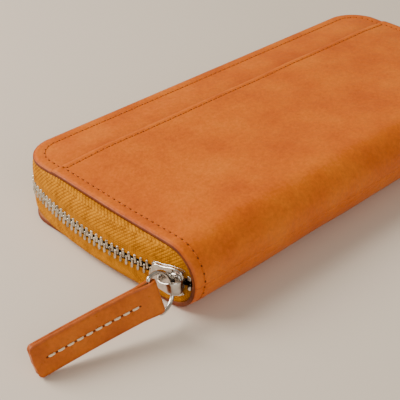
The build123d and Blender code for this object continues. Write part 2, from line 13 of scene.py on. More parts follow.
import bmesh
import bpy
import numpy as np
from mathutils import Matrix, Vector


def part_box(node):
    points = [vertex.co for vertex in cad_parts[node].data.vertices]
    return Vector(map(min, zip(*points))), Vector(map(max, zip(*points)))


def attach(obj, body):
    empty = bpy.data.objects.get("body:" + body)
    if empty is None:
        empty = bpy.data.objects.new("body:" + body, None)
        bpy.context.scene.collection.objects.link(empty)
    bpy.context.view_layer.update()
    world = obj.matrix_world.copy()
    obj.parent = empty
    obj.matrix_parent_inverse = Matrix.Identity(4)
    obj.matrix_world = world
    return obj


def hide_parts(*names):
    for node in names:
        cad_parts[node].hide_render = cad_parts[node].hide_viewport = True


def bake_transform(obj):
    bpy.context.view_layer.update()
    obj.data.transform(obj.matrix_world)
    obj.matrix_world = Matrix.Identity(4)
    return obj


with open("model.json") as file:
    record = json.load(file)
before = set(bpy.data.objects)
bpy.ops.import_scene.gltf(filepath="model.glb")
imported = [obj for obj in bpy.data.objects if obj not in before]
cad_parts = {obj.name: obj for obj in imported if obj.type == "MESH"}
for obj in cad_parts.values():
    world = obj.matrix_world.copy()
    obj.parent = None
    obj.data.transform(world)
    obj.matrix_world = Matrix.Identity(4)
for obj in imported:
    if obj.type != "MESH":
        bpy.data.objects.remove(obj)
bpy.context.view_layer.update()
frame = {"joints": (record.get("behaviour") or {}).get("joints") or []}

# %% [markdown]
# ## Sizes
# Everything below is worked out in millimetres, because leather, thread and zip sizes are
# spoken of in millimetres, and turned into metres only when a mesh is made. The outer sizes
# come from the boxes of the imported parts, so the looks can't drift away from the frame.

# %% Driving sizes
MM = 0.001


def box_mm(node):
    """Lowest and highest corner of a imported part, in millimetres."""
    low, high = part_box(node)
    return np.array(low) / MM, np.array(high) / MM


back_high = box_mm("back_cover")[1]
spine_low = box_mm("spine_wrap")[0]
panel_high = box_mm("front_panel")[1]
strip_high = box_mm("front_strip")[1]
HALF_LENGTH = back_high[0]
THICKNESS = panel_high[2]
MIDDLE = THICKNESS / 2
SPINE_RADIUS = THICKNESS / 2
SPINE_Y = spine_low[1]
SPINE_AXIS_Y = SPINE_Y + SPINE_RADIUS
ZIP_Y = back_high[1]
SEAM_Y = panel_high[1]
SEAM_STEP = THICKNESS - strip_high[2]
CORNER_RADIUS = 14.0
LEATHER = 2.0
ARC = SPINE_RADIUS * np.pi / 2
print("case", 2 * HALF_LENGTH, ZIP_Y - SPINE_Y, THICKNESS, "seam at", SEAM_Y)

# %% [markdown]
# ## Meshes from arrays
# Blender can make a mesh from lists of vertices and faces. A surface worked out on a grid is
# the simplest such list: each cell of the grid is one four sided face. A real sheet of leather
# also has a back and a cut edge, so a second grid is laid under the first and the two are
# joined by a rim that bulges like a burnished edge. An alternative is the Solidify modifier,
# but its square rim would need a Bevel as well; an elliptical rim drawn directly is smoother.


# %% Grid helpers
def grid_faces(rows, cols, first=0, flip=False, round_rows=False, round_cols=False):
    """Faces of a rows x cols grid of vertices; a round direction joins its end to its start."""
    row = np.arange(rows if round_rows else rows - 1)
    col = np.arange(cols if round_cols else cols - 1)
    r, c = np.meshgrid(row, col, indexing="ij")
    r2, c2 = (r + 1) % rows, (c + 1) % cols
    corners = [r * cols + c, r * cols + c2, r2 * cols + c2, r2 * cols + c]
    faces = np.stack(corners, axis=-1).reshape(-1, 4) + first
    return faces[:, ::-1] if flip else faces


def make_piece(name, points, faces, materials, face_material=None, flat=None, tone=None):
    """Mesh object from points in millimetres. flat is a UV per point, tone a shade per point."""
    mesh = bpy.data.meshes.new(name)
    points = np.asarray(points, float).reshape(-1, 3)
    mesh.from_pydata((points * MM).tolist(), [], [list(map(int, face)) for face in faces])
    mesh.polygons.foreach_set("use_smooth", np.ones(len(mesh.polygons), bool))
    for material in materials:
        mesh.materials.append(material)
    if face_material is not None:
        mesh.polygons.foreach_set("material_index", np.asarray(face_material, np.int32))
    if flat is not None:
        corner = np.zeros(len(mesh.loops), np.int32)
        mesh.loops.foreach_get("vertex_index", corner)
        layer = mesh.uv_layers.new(name="flat")
        uv = np.asarray(flat, float).reshape(-1, 2)[corner] * MM
        layer.data.foreach_set("uv", uv.astype(np.float32).ravel())
    if tone is not None:
        field = mesh.attributes.new("tone", "FLOAT", "POINT")
        field.data.foreach_set("value", np.asarray(tone, np.float32).ravel())
    mesh.update()
    piece = bpy.data.objects.new(name, mesh)
    bpy.context.scene.collection.objects.link(piece)
    return piece


def normals_of(grid):
    """Unit normals of a grid of points: the cross product of its two directions."""
    across = np.gradient(grid, axis=0)
    along = np.gradient(grid, axis=1)
    normal = np.cross(along, across)
    return normal / np.maximum(np.linalg.norm(normal, axis=-1, keepdims=True), 1e-9)


def boundary_loop(rows, cols):
    """Indices round the border of a grid, and of the point just inside each of them."""
    row, col = np.arange(rows - 1), np.arange(cols - 1)
    r = np.concatenate([col * 0, row, col * 0 + rows - 1, rows - 1 - row])
    c = np.concatenate([col, row * 0 + cols - 1, cols - 1 - col, row * 0])
    inside_r = np.clip(r, 1, rows - 2)
    inside_c = np.clip(c, 1, cols - 2)
    return r * cols + c, inside_r * cols + inside_c


def sheet_piece(name, outer, thickness, materials, bulge=0.4, flat=None, tone=None, rim_rings=4):
    """Closed sheet: a grid, the same grid a thickness below it, and a half ellipse rim.

    Rim point = middle of the edge + outwards x bulge x cos(a) + normal x half thickness x sin(a).
    Materials are for the outer side, the rim and the inner side.
    """
    rows, cols = outer.shape[:2]
    normal = normals_of(outer)
    top = outer.reshape(-1, 3)
    up = normal.reshape(-1, 3)
    under = top - up * thickness
    border, inside = boundary_loop(rows, cols)
    away = top[border] - top[inside]
    away -= up[border] * np.sum(away * up[border], axis=1, keepdims=True)
    away /= np.maximum(np.linalg.norm(away, axis=1, keepdims=True), 1e-9)
    middle = top[border] - up[border] * thickness / 2
    angle = np.linspace(np.pi / 2, -np.pi / 2, rim_rings + 2)[1:-1]
    rings = [
        middle + away * bulge * np.cos(a) + up[border] * thickness / 2 * np.sin(a) for a in angle
    ]
    count = rows * cols
    points = np.concatenate([top, under, *rings])
    ids = [border] + [2 * count + k * len(border) + np.arange(len(border)) for k in range(rim_rings)]
    ids.append(border + count)
    rim = [
        np.stack([a, b, np.roll(b, -1), np.roll(a, -1)], axis=1) for a, b in zip(ids[:-1], ids[1:])
    ]
    upper = grid_faces(rows, cols)
    lower = grid_faces(rows, cols, first=count, flip=True)
    faces = np.concatenate([upper, np.concatenate(rim), lower])
    paint = np.repeat([0, 1, 2], [len(upper), len(border) * (rim_rings + 1), len(lower)])
    if flat is not None:
        flat = flat.reshape(-1, 2)
        flat = np.concatenate([flat, flat] + [flat[border]] * rim_rings)
    if tone is not None:
        tone = np.ravel(tone)
        tone = np.concatenate([tone, tone] + [tone[border]] * rim_rings)
    piece = make_piece(name, points, faces, materials, paint, flat, tone)
    print(name, len(faces), "faces")
    return piece


def smooth(low, high, value):
    """Smooth step from 0 at low to 1 at high."""
    t = np.clip((value - low) / (high - low), 0, 1)
    return t * t * (3 - 2 * t)


def bell(distance, width):
    """Bell curve: exp(-(distance / width) squared), 1 in the middle."""
    return np.exp(-((distance / width) ** 2))


def run_along(line):
    """Distance run along a line of points, from its first point to each of them."""
    return np.concatenate([[0], np.cumsum(np.linalg.norm(np.diff(line, axis=0), axis=1))])


def capped_rings(rings, around):
    """Faces of a closed form made of rings of points, with a flat cap on each end."""
    faces = grid_faces(rings, around, round_cols=True).tolist()
    last = (rings - 1) * around
    return faces + [list(range(around))[::-1], list(range(last, last + around))]


def repeated(faces, points_each, count, first=0):
    """Faces of count copies of one form, whose points follow each other from the first."""
    return [[c + first + k * points_each for c in face] for k in range(count) for face in faces]


def ripple(x, y, waves, longest, seed):
    """Gentle unevenness: the mean of sine waves with fixed random directions and lengths."""
    random = np.random.default_rng(seed)
    heading = random.uniform(0, np.pi, waves)
    length = longest * random.uniform(0.35, 1.0, waves)
    phase = random.uniform(0, 2 * np.pi, waves)
    total = np.zeros(np.shape(x))
    for a, l, p in zip(heading, length, phase):
        total += np.sin(2 * np.pi * (x * np.cos(a) + y * np.sin(a)) / l + p)
    return total / waves


print("helpers ready")

# %% [markdown]
# ## Colours and nodes
# A colour is written as the sRGB hex value that a designer would name, and one function turns
# it to the linear value that the renderer works in. One other function adds any node with its
# settings and links, so that a material reads as a short list of layers.


# %% Colour and node helpers
def linear(hex_colour):
    """sRGB hex such as #C8703A to linear red, green, blue and alpha."""
    srgb = np.array([int(hex_colour[k : k + 2], 16) for k in (1, 3, 5)]) / 255
    value = np.where(srgb <= 0.04045, srgb / 12.92, ((srgb + 0.055) / 1.055) ** 2.4)
    return (*value.tolist(), 1.0)


def add(tree, kind, settings=None, links=None):
    """Adds a node. A setting is an attribute, an input, or the stops of a colour ramp."""
    node = tree.nodes.new(kind)
    for key, value in (settings or {}).items():
        if key == "stops":
            elements = node.color_ramp.elements
            while len(elements) < len(value):
                elements.new(0.5)
            for element, (position, colour) in zip(elements, value):
                element.position = position
                element.color = colour
        elif isinstance(key, str) and hasattr(node, key):
            setattr(node, key, value)
        else:
            node.inputs[key].default_value = value
    for key, (source, output) in (links or {}).items():
        tree.links.new(source.outputs[output], node.inputs[key])
    return node


def new_material(name):
    """Empty node material, its tree and its output node."""
    material = bpy.data.materials.new(name)
    material.use_nodes = True
    tree = material.node_tree
    tree.nodes.clear()
    return material, tree, add(tree, "ShaderNodeOutputMaterial")


def grey(value):
    """Opaque grey for the stops of a ramp."""
    return (value, value, value, 1.0)


def per_metre(size_mm):
    """Texture scale that gives a pattern of this size when coordinates are in metres."""
    return 1 / (size_mm * MM)


# %% [markdown]
# ## Vegetable tanned leather
# The case is full grain cowhide, tanned with bark and left with a thin wax finish. Its dye is
# uneven: soft clouds a centimetre or two across, with finer mottling in them. The pores are
# under a millimetre and only just catch the light. A tone per point darkens the colour: at the
# cut edge partly as rubbed burnishing and partly as painted shade where the edge turns under,
# and beside the front seam as painted shade of the hollow there. The pattern is laid in the
# flat coordinates of the hide, so it bends with the leather. A hide's IOR is near 1.5 and its
# wax gives a soft, broad gloss.


# %% Leather materials
FLECK_MM = 1.6
CREASE_MM = 5.0
GRAIN_DEPTH = 0.35


def leather(
    name, dark, base, light, gloss, pore_mm=0.8, cloud_mm=24.0, relief=0.5, coordinates="flat"
):
    """Waxed full grain leather with clouded dye, pores, fine creases, and a tone that darkens it:
    burnishing and painted shade.
    """
    material, tree, output = new_material(name)
    if coordinates == "flat":
        place = add(tree, "ShaderNodeUVMap", {"uv_map": "flat"})
        at = (place, "UV")
    else:
        place = add(tree, "ShaderNodeTexCoord")
        at = (place, "Object")
    cloud = add(
        tree,
        "ShaderNodeTexNoise",
        {"Scale": per_metre(cloud_mm), "Detail": 5.0, "Roughness": 0.62},
        {"Vector": at},
    )
    dye = add(
        tree,
        "ShaderNodeValToRGB",
        {"stops": [(0.30, linear(dark)), (0.5, linear(base)), (0.72, linear(light))]},
        {"Fac": (cloud, "Fac")},
    )
    fleck = add(
        tree,
        "ShaderNodeTexNoise",
        {"Scale": per_metre(FLECK_MM), "Detail": 3.0, "Roughness": 0.7},
        {"Vector": at},
    )
    fleck_tone = add(
        tree,
        "ShaderNodeValToRGB",
        {"stops": [(0.35, grey(0.86)), (0.65, grey(1.06))]},
        {"Fac": (fleck, "Fac")},
    )
    mottled = add(
        tree,
        "ShaderNodeMix",
        {"data_type": "RGBA", "blend_type": "MULTIPLY", 0: 1.0},
        {6: (dye, "Color"), 7: (fleck_tone, "Color")},
    )
    # Tone darkens the colour: burnishing at the cut edge, and painted shade there and beside the front
    # seam.
    tone = add(tree, "ShaderNodeAttribute", {"attribute_name": "tone"})
    burnish_and_painted_shade = add(tree, "ShaderNodeMapRange", {3: 0.0, 4: 0.62}, {0: (tone, "Fac")})
    colour = add(
        tree,
        "ShaderNodeMix",
        {"data_type": "RGBA", "blend_type": "MULTIPLY", 7: linear("#A4581C")},
        {0: (burnish_and_painted_shade, 0), 6: (mottled, 2)},
    )
    pores = add(
        tree,
        "ShaderNodeTexVoronoi",
        {"feature": "SMOOTH_F1", "Scale": per_metre(pore_mm)},
        {"Vector": at},
    )
    crease = add(
        tree,
        "ShaderNodeTexNoise",
        {"Scale": per_metre(CREASE_MM), "Detail": 6.0, "Roughness": 0.6, "Distortion": 0.6},
        {"Vector": at},
    )
    grain = add(
        tree,
        "ShaderNodeMath",
        {"operation": "MULTIPLY_ADD", 1: 0.35},
        {0: (pores, "Distance"), 2: (crease, "Fac")},
    )
    bump = add(
        tree,
        "ShaderNodeBump",
        {"Strength": relief, "Distance": GRAIN_DEPTH * MM},
        {"Height": (grain, 0)},
    )
    rough = add(
        tree,
        "ShaderNodeMapRange",
        {1: 0.3, 2: 0.7, 3: gloss - 0.06, 4: gloss + 0.1},
        {0: (fleck, "Fac")},
    )
    shader = add(
        tree,
        "ShaderNodeBsdfPrincipled",
        {"IOR": 1.5, "Specular IOR Level": 0.3},
        {"Base Color": (colour, 2), "Roughness": (rough, 0), "Normal": (bump, "Normal")},
    )
    tree.links.new(shader.outputs[0], output.inputs[0])
    return material


case_leather = leather("waxed_cowhide_orange", "#C05604", "#D0660A", "#DC7616", 0.44)
tab_leather = leather(
    "burnished_cowhide_tab", "#A84C02", "#C06006", "#CC6E10", 0.32, cloud_mm=14.0, relief=0.4
)
pocket_leather = leather("matt_cowhide_pockets", "#A24A0C", "#B25A16", "#BE6A24", 0.5, cloud_mm=18.0)
# The cut edge's colour is partly its burnished edge dye and partly painted shade, darkened so that the edge
# reads as the shadow line beneath it.
cut_edge_dye_and_painted_shade = leather("burnished_edge_and_painted_shade", "#6E3004", "#803C06", "#904A0A", 0.62, 0.5, 6.0, 0.35)
tab_edge = leather("burnished_tab_edge", "#A34C10", "#BC601C", "#CB7130", 0.36, 0.5, 6.0, 0.3)
flesh_side = leather("flesh_side_of_the_hide", "#A9713F", "#B98251", "#C79263", 0.8, 0.6, 9.0, 0.9)
CASE_HIDE = [case_leather, cut_edge_dye_and_painted_shade, flesh_side]
POCKET_HIDE = [pocket_leather, cut_edge_dye_and_painted_shade, flesh_side]
print("leathers:", case_leather.name, tab_leather.name, pocket_leather.name)


# %% [markdown]
# ## Cloth, thread and nickel
# The zip tape is a polyester twill tape, dyed mustard, woven with raised diagonal ribs; the
# ribs are real relief in the mesh, and the material adds the fine threads between them,
# painted shade in the grooves between the ribs and under the leather's edge, and a darker
# plain band at the teeth.
# Waxed polyester thread is smooth and twisted. The zip's metal is nickel plated brass: bright,
# with the faint brushing and dull spots that plating has. The teeth's nickel has much darker
# clouds: partly dull plating, partly painted shade of the gaps in the chain.


# %% Cloth, thread and metal materials
def cloth(name, dark, base, thread_mm, relief=0.6, sheen=0.25):
    """Woven cloth: two crossed sets of threads with a slight unevenness of the dye."""
    material, tree, output = new_material(name)
    place = add(tree, "ShaderNodeUVMap", {"uv_map": "flat"})
    at = (place, "UV")
    count = per_metre(thread_mm) / (2 * np.pi)
    warp, weft = [
        add(
            tree,
            "ShaderNodeTexWave",
            {"bands_direction": direction, "Scale": count, "Distortion": 0.6, "Detail": 1.0},
            {"Vector": at},
        )
        for direction in ("X", "Y")
    ]
    woven = add(tree, "ShaderNodeMath", {"operation": "MULTIPLY"}, {0: (warp, "Fac"), 1: (weft, "Fac")})
    patchy = add(tree, "ShaderNodeTexNoise", {"Scale": per_metre(3.0), "Detail": 4.0}, {"Vector": at})
    mix = add(
        tree,
        "ShaderNodeMath",
        {"operation": "MULTIPLY_ADD", 1: 0.35},
        {0: (woven, 0), 2: (patchy, "Fac")},
    )
    dye = add(
        tree,
        "ShaderNodeValToRGB",
        {"stops": [(0.35, linear(dark)), (0.75, linear(base))]},
        {"Fac": (mix, 0)},
    )
    # The tone per point darkens the colour; on the zip tapes it is painted shade in the grooves between the
    # ribs and under the leather's edge, and a darker plain band at the teeth.
    tone = add(tree, "ShaderNodeAttribute", {"attribute_name": "tone"})
    colour = add(
        tree,
        "ShaderNodeMix",
        {"data_type": "RGBA", "blend_type": "MULTIPLY", 7: linear("#7A4608")},
        {0: (tone, "Fac"), 6: (dye, "Color")},
    )
    bump = add(tree, "ShaderNodeBump", {"Strength": relief, "Distance": 0.2 * MM}, {"Height": (mix, 0)})
    shader = add(
        tree,
        "ShaderNodeBsdfPrincipled",
        {"Roughness": 0.85, "Sheen Weight": sheen, "Sheen Roughness": 0.4, "Specular IOR Level": 0.12},
        {"Base Color": (colour, 2), "Normal": (bump, "Normal")},
    )
    tree.links.new(shader.outputs[0], output.inputs[0])
    return material


def thread(name, dark, base):
    """Waxed twisted thread: fine slanting strands, a little gloss."""
    material, tree, output = new_material(name)
    place = add(tree, "ShaderNodeTexCoord")
    strands = add(
        tree,
        "ShaderNodeTexWave",
        {"bands_direction": "DIAGONAL", "Scale": per_metre(1.4), "Distortion": 0.4},
        {"Vector": (place, "Object")},
    )
    dye = add(
        tree,
        "ShaderNodeValToRGB",
        {"stops": [(0.2, linear(dark)), (0.8, linear(base))]},
        {"Fac": (strands, "Fac")},
    )
    bump = add(
        tree,
        "ShaderNodeBump",
        {"Strength": 0.4, "Distance": 0.08 * MM},
        {"Height": (strands, "Fac")},
    )
    shader = add(
        tree,
        "ShaderNodeBsdfPrincipled",
        {"Roughness": 0.6, "Specular IOR Level": 0.3},
        {"Base Color": (dye, "Color"), "Normal": (bump, "Normal")},
    )
    tree.links.new(shader.outputs[0], output.inputs[0])
    return material


def nickel(name, dark, base, rough):
    """Nickel plate on brass: polished, with dull clouds and fine brushing."""
    material, tree, output = new_material(name)
    place = add(tree, "ShaderNodeTexCoord")
    at = (place, "Object")
    dull = add(
        tree,
        "ShaderNodeTexNoise",
        {"Scale": per_metre(2.2), "Detail": 5.0, "Roughness": 0.7},
        {"Vector": at},
    )
    plate = add(
        tree,
        "ShaderNodeValToRGB",
        {"stops": [(0.3, linear(dark)), (0.6, linear(base))]},
        {"Fac": (dull, "Fac")},
    )
    brushing = add(tree, "ShaderNodeTexNoise", {"Scale": per_metre(0.5), "Detail": 3.0}, {"Vector": at})
    level = add(
        tree,
        "ShaderNodeMapRange",
        {1: 0.3, 2: 0.7, 3: rough - 0.06, 4: rough + 0.12},
        {0: (dull, "Fac")},
    )
    bump = add(
        tree,
        "ShaderNodeBump",
        {"Strength": 0.12, "Distance": 0.1 * MM},
        {"Height": (brushing, "Fac")},
    )
    shader = add(
        tree,
        "ShaderNodeBsdfPrincipled",
        {"Metallic": 1.0},
        {"Base Color": (plate, "Color"), "Roughness": (level, 0), "Normal": (bump, "Normal")},
    )
    tree.links.new(shader.outputs[0], output.inputs[0])
    return material


tape_cloth = cloth("mustard_twill_tape", "#A86600", "#DC9206", 0.42, sheen=0.0)
lining_cloth = cloth("brown_twill_lining", "#5E3A18", "#80542A", 0.5)
case_thread = thread("orange_waxed_thread", "#B85608", "#CE6A10")
cream_thread = thread("cream_waxed_thread", "#D9C09A", "#F3E3C6")
# Flat dark brown for the needle holes: painted shade of the pricked hole.
painted_needle_hole_shade = leather(
    "pricked_hole_painted_shade", "#5A2608", "#6A2E0A", "#74360E", 0.8, coordinates="object"
)
plated = nickel("polished_nickel_plate", "#A9A5A0", "#D2CEC8", 0.16)
# The teeth's nickel has a far darker first stop than the slider's: its dark clouds are partly dull plating
# and partly painted shade of the gaps in the chain.
teeth_nickel_with_painted_shade = nickel("nickel_zip_teeth_with_painted_shade", "#6E6656", "#DCD6C8", 0.2)
print("cloth, thread and metal ready")

# %% [markdown]
# ## The skin of the case
# One function gives any point of the outer leather. Across the case, a distance s starts at
# the middle of the spine, runs a quarter turn round it and then flat towards the zip. The
# front is laid like that, and the back is the same skin turned over. On top of this exact
# shape the hide is lifted by small amounts: it is padded inside, it drops where the thread
# pulls it down, and it is never quite even.

# %% Skin of the case
STITCH_INSET = 4.2
SEAM_STITCH_Y = SEAM_Y - 2.5
SEAM_CREST_Y = SEAM_STITCH_Y + 1.1
ZIP_SIDE_LIFT = 1.1
PADDING = 0.7
EDGE_DROP = 0.4
STITCH_SINK = 0.1


def y_of(s):
    """Flat place across the case at a distance s from the middle of the spine."""
    return SPINE_AXIS_Y + (s - ARC)


def s_of(y):
    """Distance from the middle of the spine of a flat place y."""
    return y - SPINE_AXIS_Y + ARC


def edge_distance(x, s):
    """Distance in from the cut edge, round the two zip side corners."""
    side = np.abs(x) - (HALF_LENGTH - CORNER_RADIUS)
    far = y_of(s) - (ZIP_Y - CORNER_RADIUS)
    corner = CORNER_RADIUS - np.hypot(np.maximum(side, 0), np.maximum(far, 0))
    return np.where((side > 0) & (far > 0), corner, CORNER_RADIUS - np.maximum(side, far))


def zip_side_lift(y):
    """The full case stands a little higher towards its zip."""
    return ZIP_SIDE_LIFT * smooth(-15, 32, y)


def lift(x, s, panel=True):
    """Height of the front's outer side above the exact shape."""
    y = y_of(s)
    edge = edge_distance(x, s)
    height = zip_side_lift(y) + PADDING * smooth(3, 24, edge) * smooth(0, 30, s)
    height -= EDGE_DROP * (1 - smooth(0, 1.6, edge)) ** 1.5
    height -= STITCH_SINK * bell(edge - STITCH_INSET, 0.8)
    height -= 0.08 * bell(y - SEAM_STITCH_Y, 0.7) * smooth(2, 5, edge)
    height += 0.12 * bell(y - SEAM_CREST_Y, 0.7) * smooth(1, 5, edge)
    height += 0.30 * ripple(x, s, 9, 70, 3) * smooth(3, 16, edge)
    height += 0.10 * ripple(x, s, 12, 16, 5) * smooth(3, 10, edge)
    if panel:
        return height - 0.15 * smooth(SEAM_Y - 1.2, SEAM_Y, y)
    return height - SEAM_STEP + 0.25 * smooth(SEAM_Y, SEAM_Y + 9, y)


def skin(x, s, height):
    """Point of the front's outer side: the exact shape moved out along its normal."""
    turn = np.clip(s / SPINE_RADIUS, 0, np.pi / 2)
    y = SPINE_AXIS_Y - (SPINE_RADIUS + height) * np.cos(turn) + np.maximum(s - ARC, 0)
    z = MIDDLE + (SPINE_RADIUS + height) * np.sin(turn)
    return np.stack([x, y, z], axis=-1)


def turned_over(points):
    """The same points on the back of the case."""
    return points * [1, 1, -1] + [0, 0, THICKNESS]


def half_width(s):
    """Half length of the leather at a distance s, shorter round the zip side corners."""
    far = np.clip(y_of(s) - (ZIP_Y - CORNER_RADIUS), 0, CORNER_RADIUS)
    return HALF_LENGTH - CORNER_RADIUS + np.sqrt(CORNER_RADIUS**2 - far**2)


def rows_to_zip(first, cell, fine):
    """Rows from s = first to the zip edge, closer together as the corners turn."""
    straight = s_of(ZIP_Y - CORNER_RADIUS)
    turn = np.linspace(0, np.pi / 2 - 0.05, int(CORNER_RADIUS * 1.5 / fine))
    return np.concatenate([
        np.linspace(first, straight, int((straight - first) / cell))[:-1],
        straight + CORNER_RADIUS * np.sin(turn),
    ])


def hide_grid(s_rows, cell, fine=0.4, fine_band=7.0):
    """x and s of a grid over the hide: rows as wide as the hide, finer columns beside the edge."""
    inner = 1 - fine_band / HALF_LENGTH
    band = np.linspace(inner, 1, int(fine_band / fine))
    middle = np.linspace(-inner, inner, int(2 * inner * HALF_LENGTH / cell))
    share = np.concatenate([-band[:0:-1], middle, band[1:]])
    s, share = np.meshgrid(s_rows, share, indexing="ij")
    return share * half_width(s), s


def edge_tone(x, s):
    """Darker at the cut edge, partly burnishing and partly painted shade where the edge turns under; a
    little darker along the seams and needle lines.
    """
    edge = edge_distance(x, s)
    needle = bell(edge - STITCH_INSET, 0.8) + bell(y_of(s) - SEAM_STITCH_Y, 0.8)
    return 0.75 * (1 - smooth(0.0, 1.1, edge)) + 0.12 * needle


# %% [markdown]
# The main front leather runs from the seam over the top and down to the middle of the spine.
# It crosses the upper fold line between the spine and the front, and the back leather
# crosses the lower fold line; both are only baked in place, not blended across their fold
# lines. The two meet at the middle of the spine, where both follow the spine alone.

# %% Front and back leather
HIDE_CELL = 0.95
SHOWN_LEATHER = 1.5
hinges = {joint["name"]: joint for joint in frame["joints"]}


def bend_front(piece):
    """The piece crosses the upper fold line between the spine and the front; it is only baked in place, not
    bent.
    """
    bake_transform(piece)


def bend_back(piece):
    """The piece crosses the lower fold line between the spine and the back; it is only baked in place, not
    bent.
    """
    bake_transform(piece)


panel_rows = np.concatenate([
    np.linspace(0, s_of(SEAM_Y - 7), 78)[:-1],
    np.linspace(s_of(SEAM_Y - 7), s_of(SEAM_Y), 22),
])
x, s = hide_grid(panel_rows, HIDE_CELL)
front_leather = sheet_piece(
    "front_leather",
    skin(x, s, lift(x, s)),
    SHOWN_LEATHER,
    CASE_HIDE,
    flat=np.stack([x, s], axis=-1),
    tone=edge_tone(x, s),
)
bend_front(front_leather)
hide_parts("front_panel", "spine_wrap")

x, s = hide_grid(rows_to_zip(s_of(SEAM_Y - 5), 0.5, 0.4), HIDE_CELL)
strip_height = lift(x, s, panel=False) - 0.5 * (1 - smooth(SEAM_Y - 0.4, SEAM_Y + 0.1, y_of(s)))
strip_leather = sheet_piece(
    "front_strip_leather",
    skin(x, s, strip_height),
    SHOWN_LEATHER - 0.2,
    CASE_HIDE,
    flat=np.stack([x + 300, s], axis=-1),
    # Beside the seam the strip is darkened for 7 mm: painted shade of the hollow below the panel's edge.
    tone=np.maximum(edge_tone(x, s), 0.3 * (1 - smooth(0, 7.0, y_of(s) - SEAM_Y))),
)
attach(strip_leather, "front")
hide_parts("front_strip")

# %% [markdown]
# The back lies flat on the table, so it gets no padding: only its edges lift a little where
# the thread pulls them up, and its stitch line sinks.


# %% Back leather
def back_lift(x, s):
    """Height of the back's outer side; negative is up, away from the table."""
    edge = edge_distance(x, s)
    height = -0.45 * (1 - smooth(0, 5, edge)) - 0.22 * bell(edge - STITCH_INSET, 0.8)
    round_part = 1 - smooth(ARC - 6, ARC + 4, s)
    height += 0.12 * (ripple(x, s, 9, 60, 11) - 1) * (1 - round_part)
    return height + 0.3 * ripple(x, s, 9, 70, 3) * round_part


x, s = hide_grid(rows_to_zip(0, 1.25, 0.5)[::-1], 1.4)
back_leather = sheet_piece(
    "back_leather",
    turned_over(skin(x, s, back_lift(x, s))),
    SHOWN_LEATHER,
    CASE_HIDE,
    flat=np.stack([x, -s], axis=-1),
    tone=edge_tone(x, s),
)
bend_back(back_leather)
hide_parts("back_cover")

# %% [markdown]
# ## Stitches
# A stitch is a short length of thread that dives into a needle hole at both ends. One small
# closed form is worked out once and copied by arrays to every place along a line: its
# spine is an arch, height = top x (1 - (2t - 1)^4), and its section an ellipse. Between two
# stitches lies a small dark lens on the leather, painted shade of the pricked hole, which is
# what the eye really reads as sewing.

# %% Stitch maker
STITCH_PITCH = 2.75
STITCH_LENGTH = 2.05


def spaced_along(line, pitch):
    """Evenly spaced places on a polyline, with the direction of the line at each."""
    run = run_along(line)
    count = int(run[-1] // pitch)
    at = (np.arange(count) + 0.5) * run[-1] / count
    place = np.stack([np.interp(at, run, line[:, k]) for k in range(3)], axis=1)
    ahead = np.stack([np.interp(at + 0.3, run, line[:, k]) for k in range(3)], axis=1)
    behind = np.stack([np.interp(at - 0.3, run, line[:, k]) for k in range(3)], axis=1)
    along = ahead - behind
    return place, along / np.linalg.norm(along, axis=1, keepdims=True)


def copies(shape, place, along, up):
    """A small shape, given as (along, sideways, up) offsets, copied to every place."""
    side = np.cross(up, along)
    axes = np.stack([along, side, up], axis=1)
    return place[:, None, :] + np.einsum("pk,nkc->npc", shape, axes)


def stitch_shape(length, width, top):
    """Grid of one stitch: rings of an ellipse along an arch, with pinched ends."""
    t = np.linspace(0, 1, 7)
    angle = np.linspace(0, 2 * np.pi, 7)[:-1]
    t, angle = np.meshgrid(t, angle, indexing="ij")
    fat = np.clip(1 - (2 * t - 1) ** 6, 0.25, 1)
    along = (t - 0.5) * length
    sideways = width / 2 * np.cos(angle) * fat
    height = top * (1 - (2 * t - 1) ** 4) - top * 0.55 + width * 0.32 * np.sin(angle) * fat
    return np.stack([along, sideways, height], axis=-1).reshape(-1, 3), (7, 6)


def hole_shape(radius):
    """Small dark lens, painted shade of a needle hole: a ring of six points between a middle point above
    and one below.
    """
    angle = np.linspace(0, 2 * np.pi, 7)[:-1]
    ring = np.stack([radius * 1.3 * np.cos(angle), radius * np.sin(angle), np.zeros(6)], axis=-1)
    return np.concatenate([[[0, 0, 0.05], [0, 0, -0.3]], ring])


def stitch_piece(
    name, line, up, thread_material, pitch=STITCH_PITCH, length=STITCH_LENGTH, width=0.5, top=0.2, hole=0.34
):
    """Row of stitches, with dark lenses of painted shade at the needle holes, along a line whose normals
    are given at every point.
    """
    place, along = spaced_along(line, pitch)
    nearest = np.argmin(np.linalg.norm(place[:, None] - line[None], axis=2), axis=1)
    normal = up[nearest]
    normal = normal - along * np.sum(normal * along, axis=1, keepdims=True)
    normal /= np.linalg.norm(normal, axis=1, keepdims=True)
    shape, (rings, around) = stitch_shape(length, width, top)
    body = copies(shape, place, along, normal)
    ends = np.concatenate([place - along * pitch / 2, place[-1:] + along[-1:] * pitch / 2])
    end_along = np.concatenate([along, along[-1:]])
    end_up = np.concatenate([normal, normal[-1:]])
    holes = copies(hole_shape(hole), ends + end_up * 0.08, end_along, end_up)
    size = rings * around
    faces = repeated(capped_rings(rings, around), size, len(place))
    fan = [[0, 2 + k, 2 + (k + 1) % 6] for k in range(6)]
    fan += [[1, 2 + (k + 1) % 6, 2 + k] for k in range(6)]
    hole_faces = repeated(fan, 8, len(ends), len(place) * size)
    paint = [0] * len(faces) + [1] * len(hole_faces)
    points = np.concatenate([body.reshape(-1, 3), holes.reshape(-1, 3)])
    piece = make_piece(name, points, faces + hole_faces, [thread_material, painted_needle_hole_shade], paint)
    print(name, len(place), "stitches")
    return piece


# %% [markdown]
# The edge seam keeps the same distance from the cut edge all the way: up one short side of the
# spine, round both zip side corners and down again. The same line, turned over, sews the back.

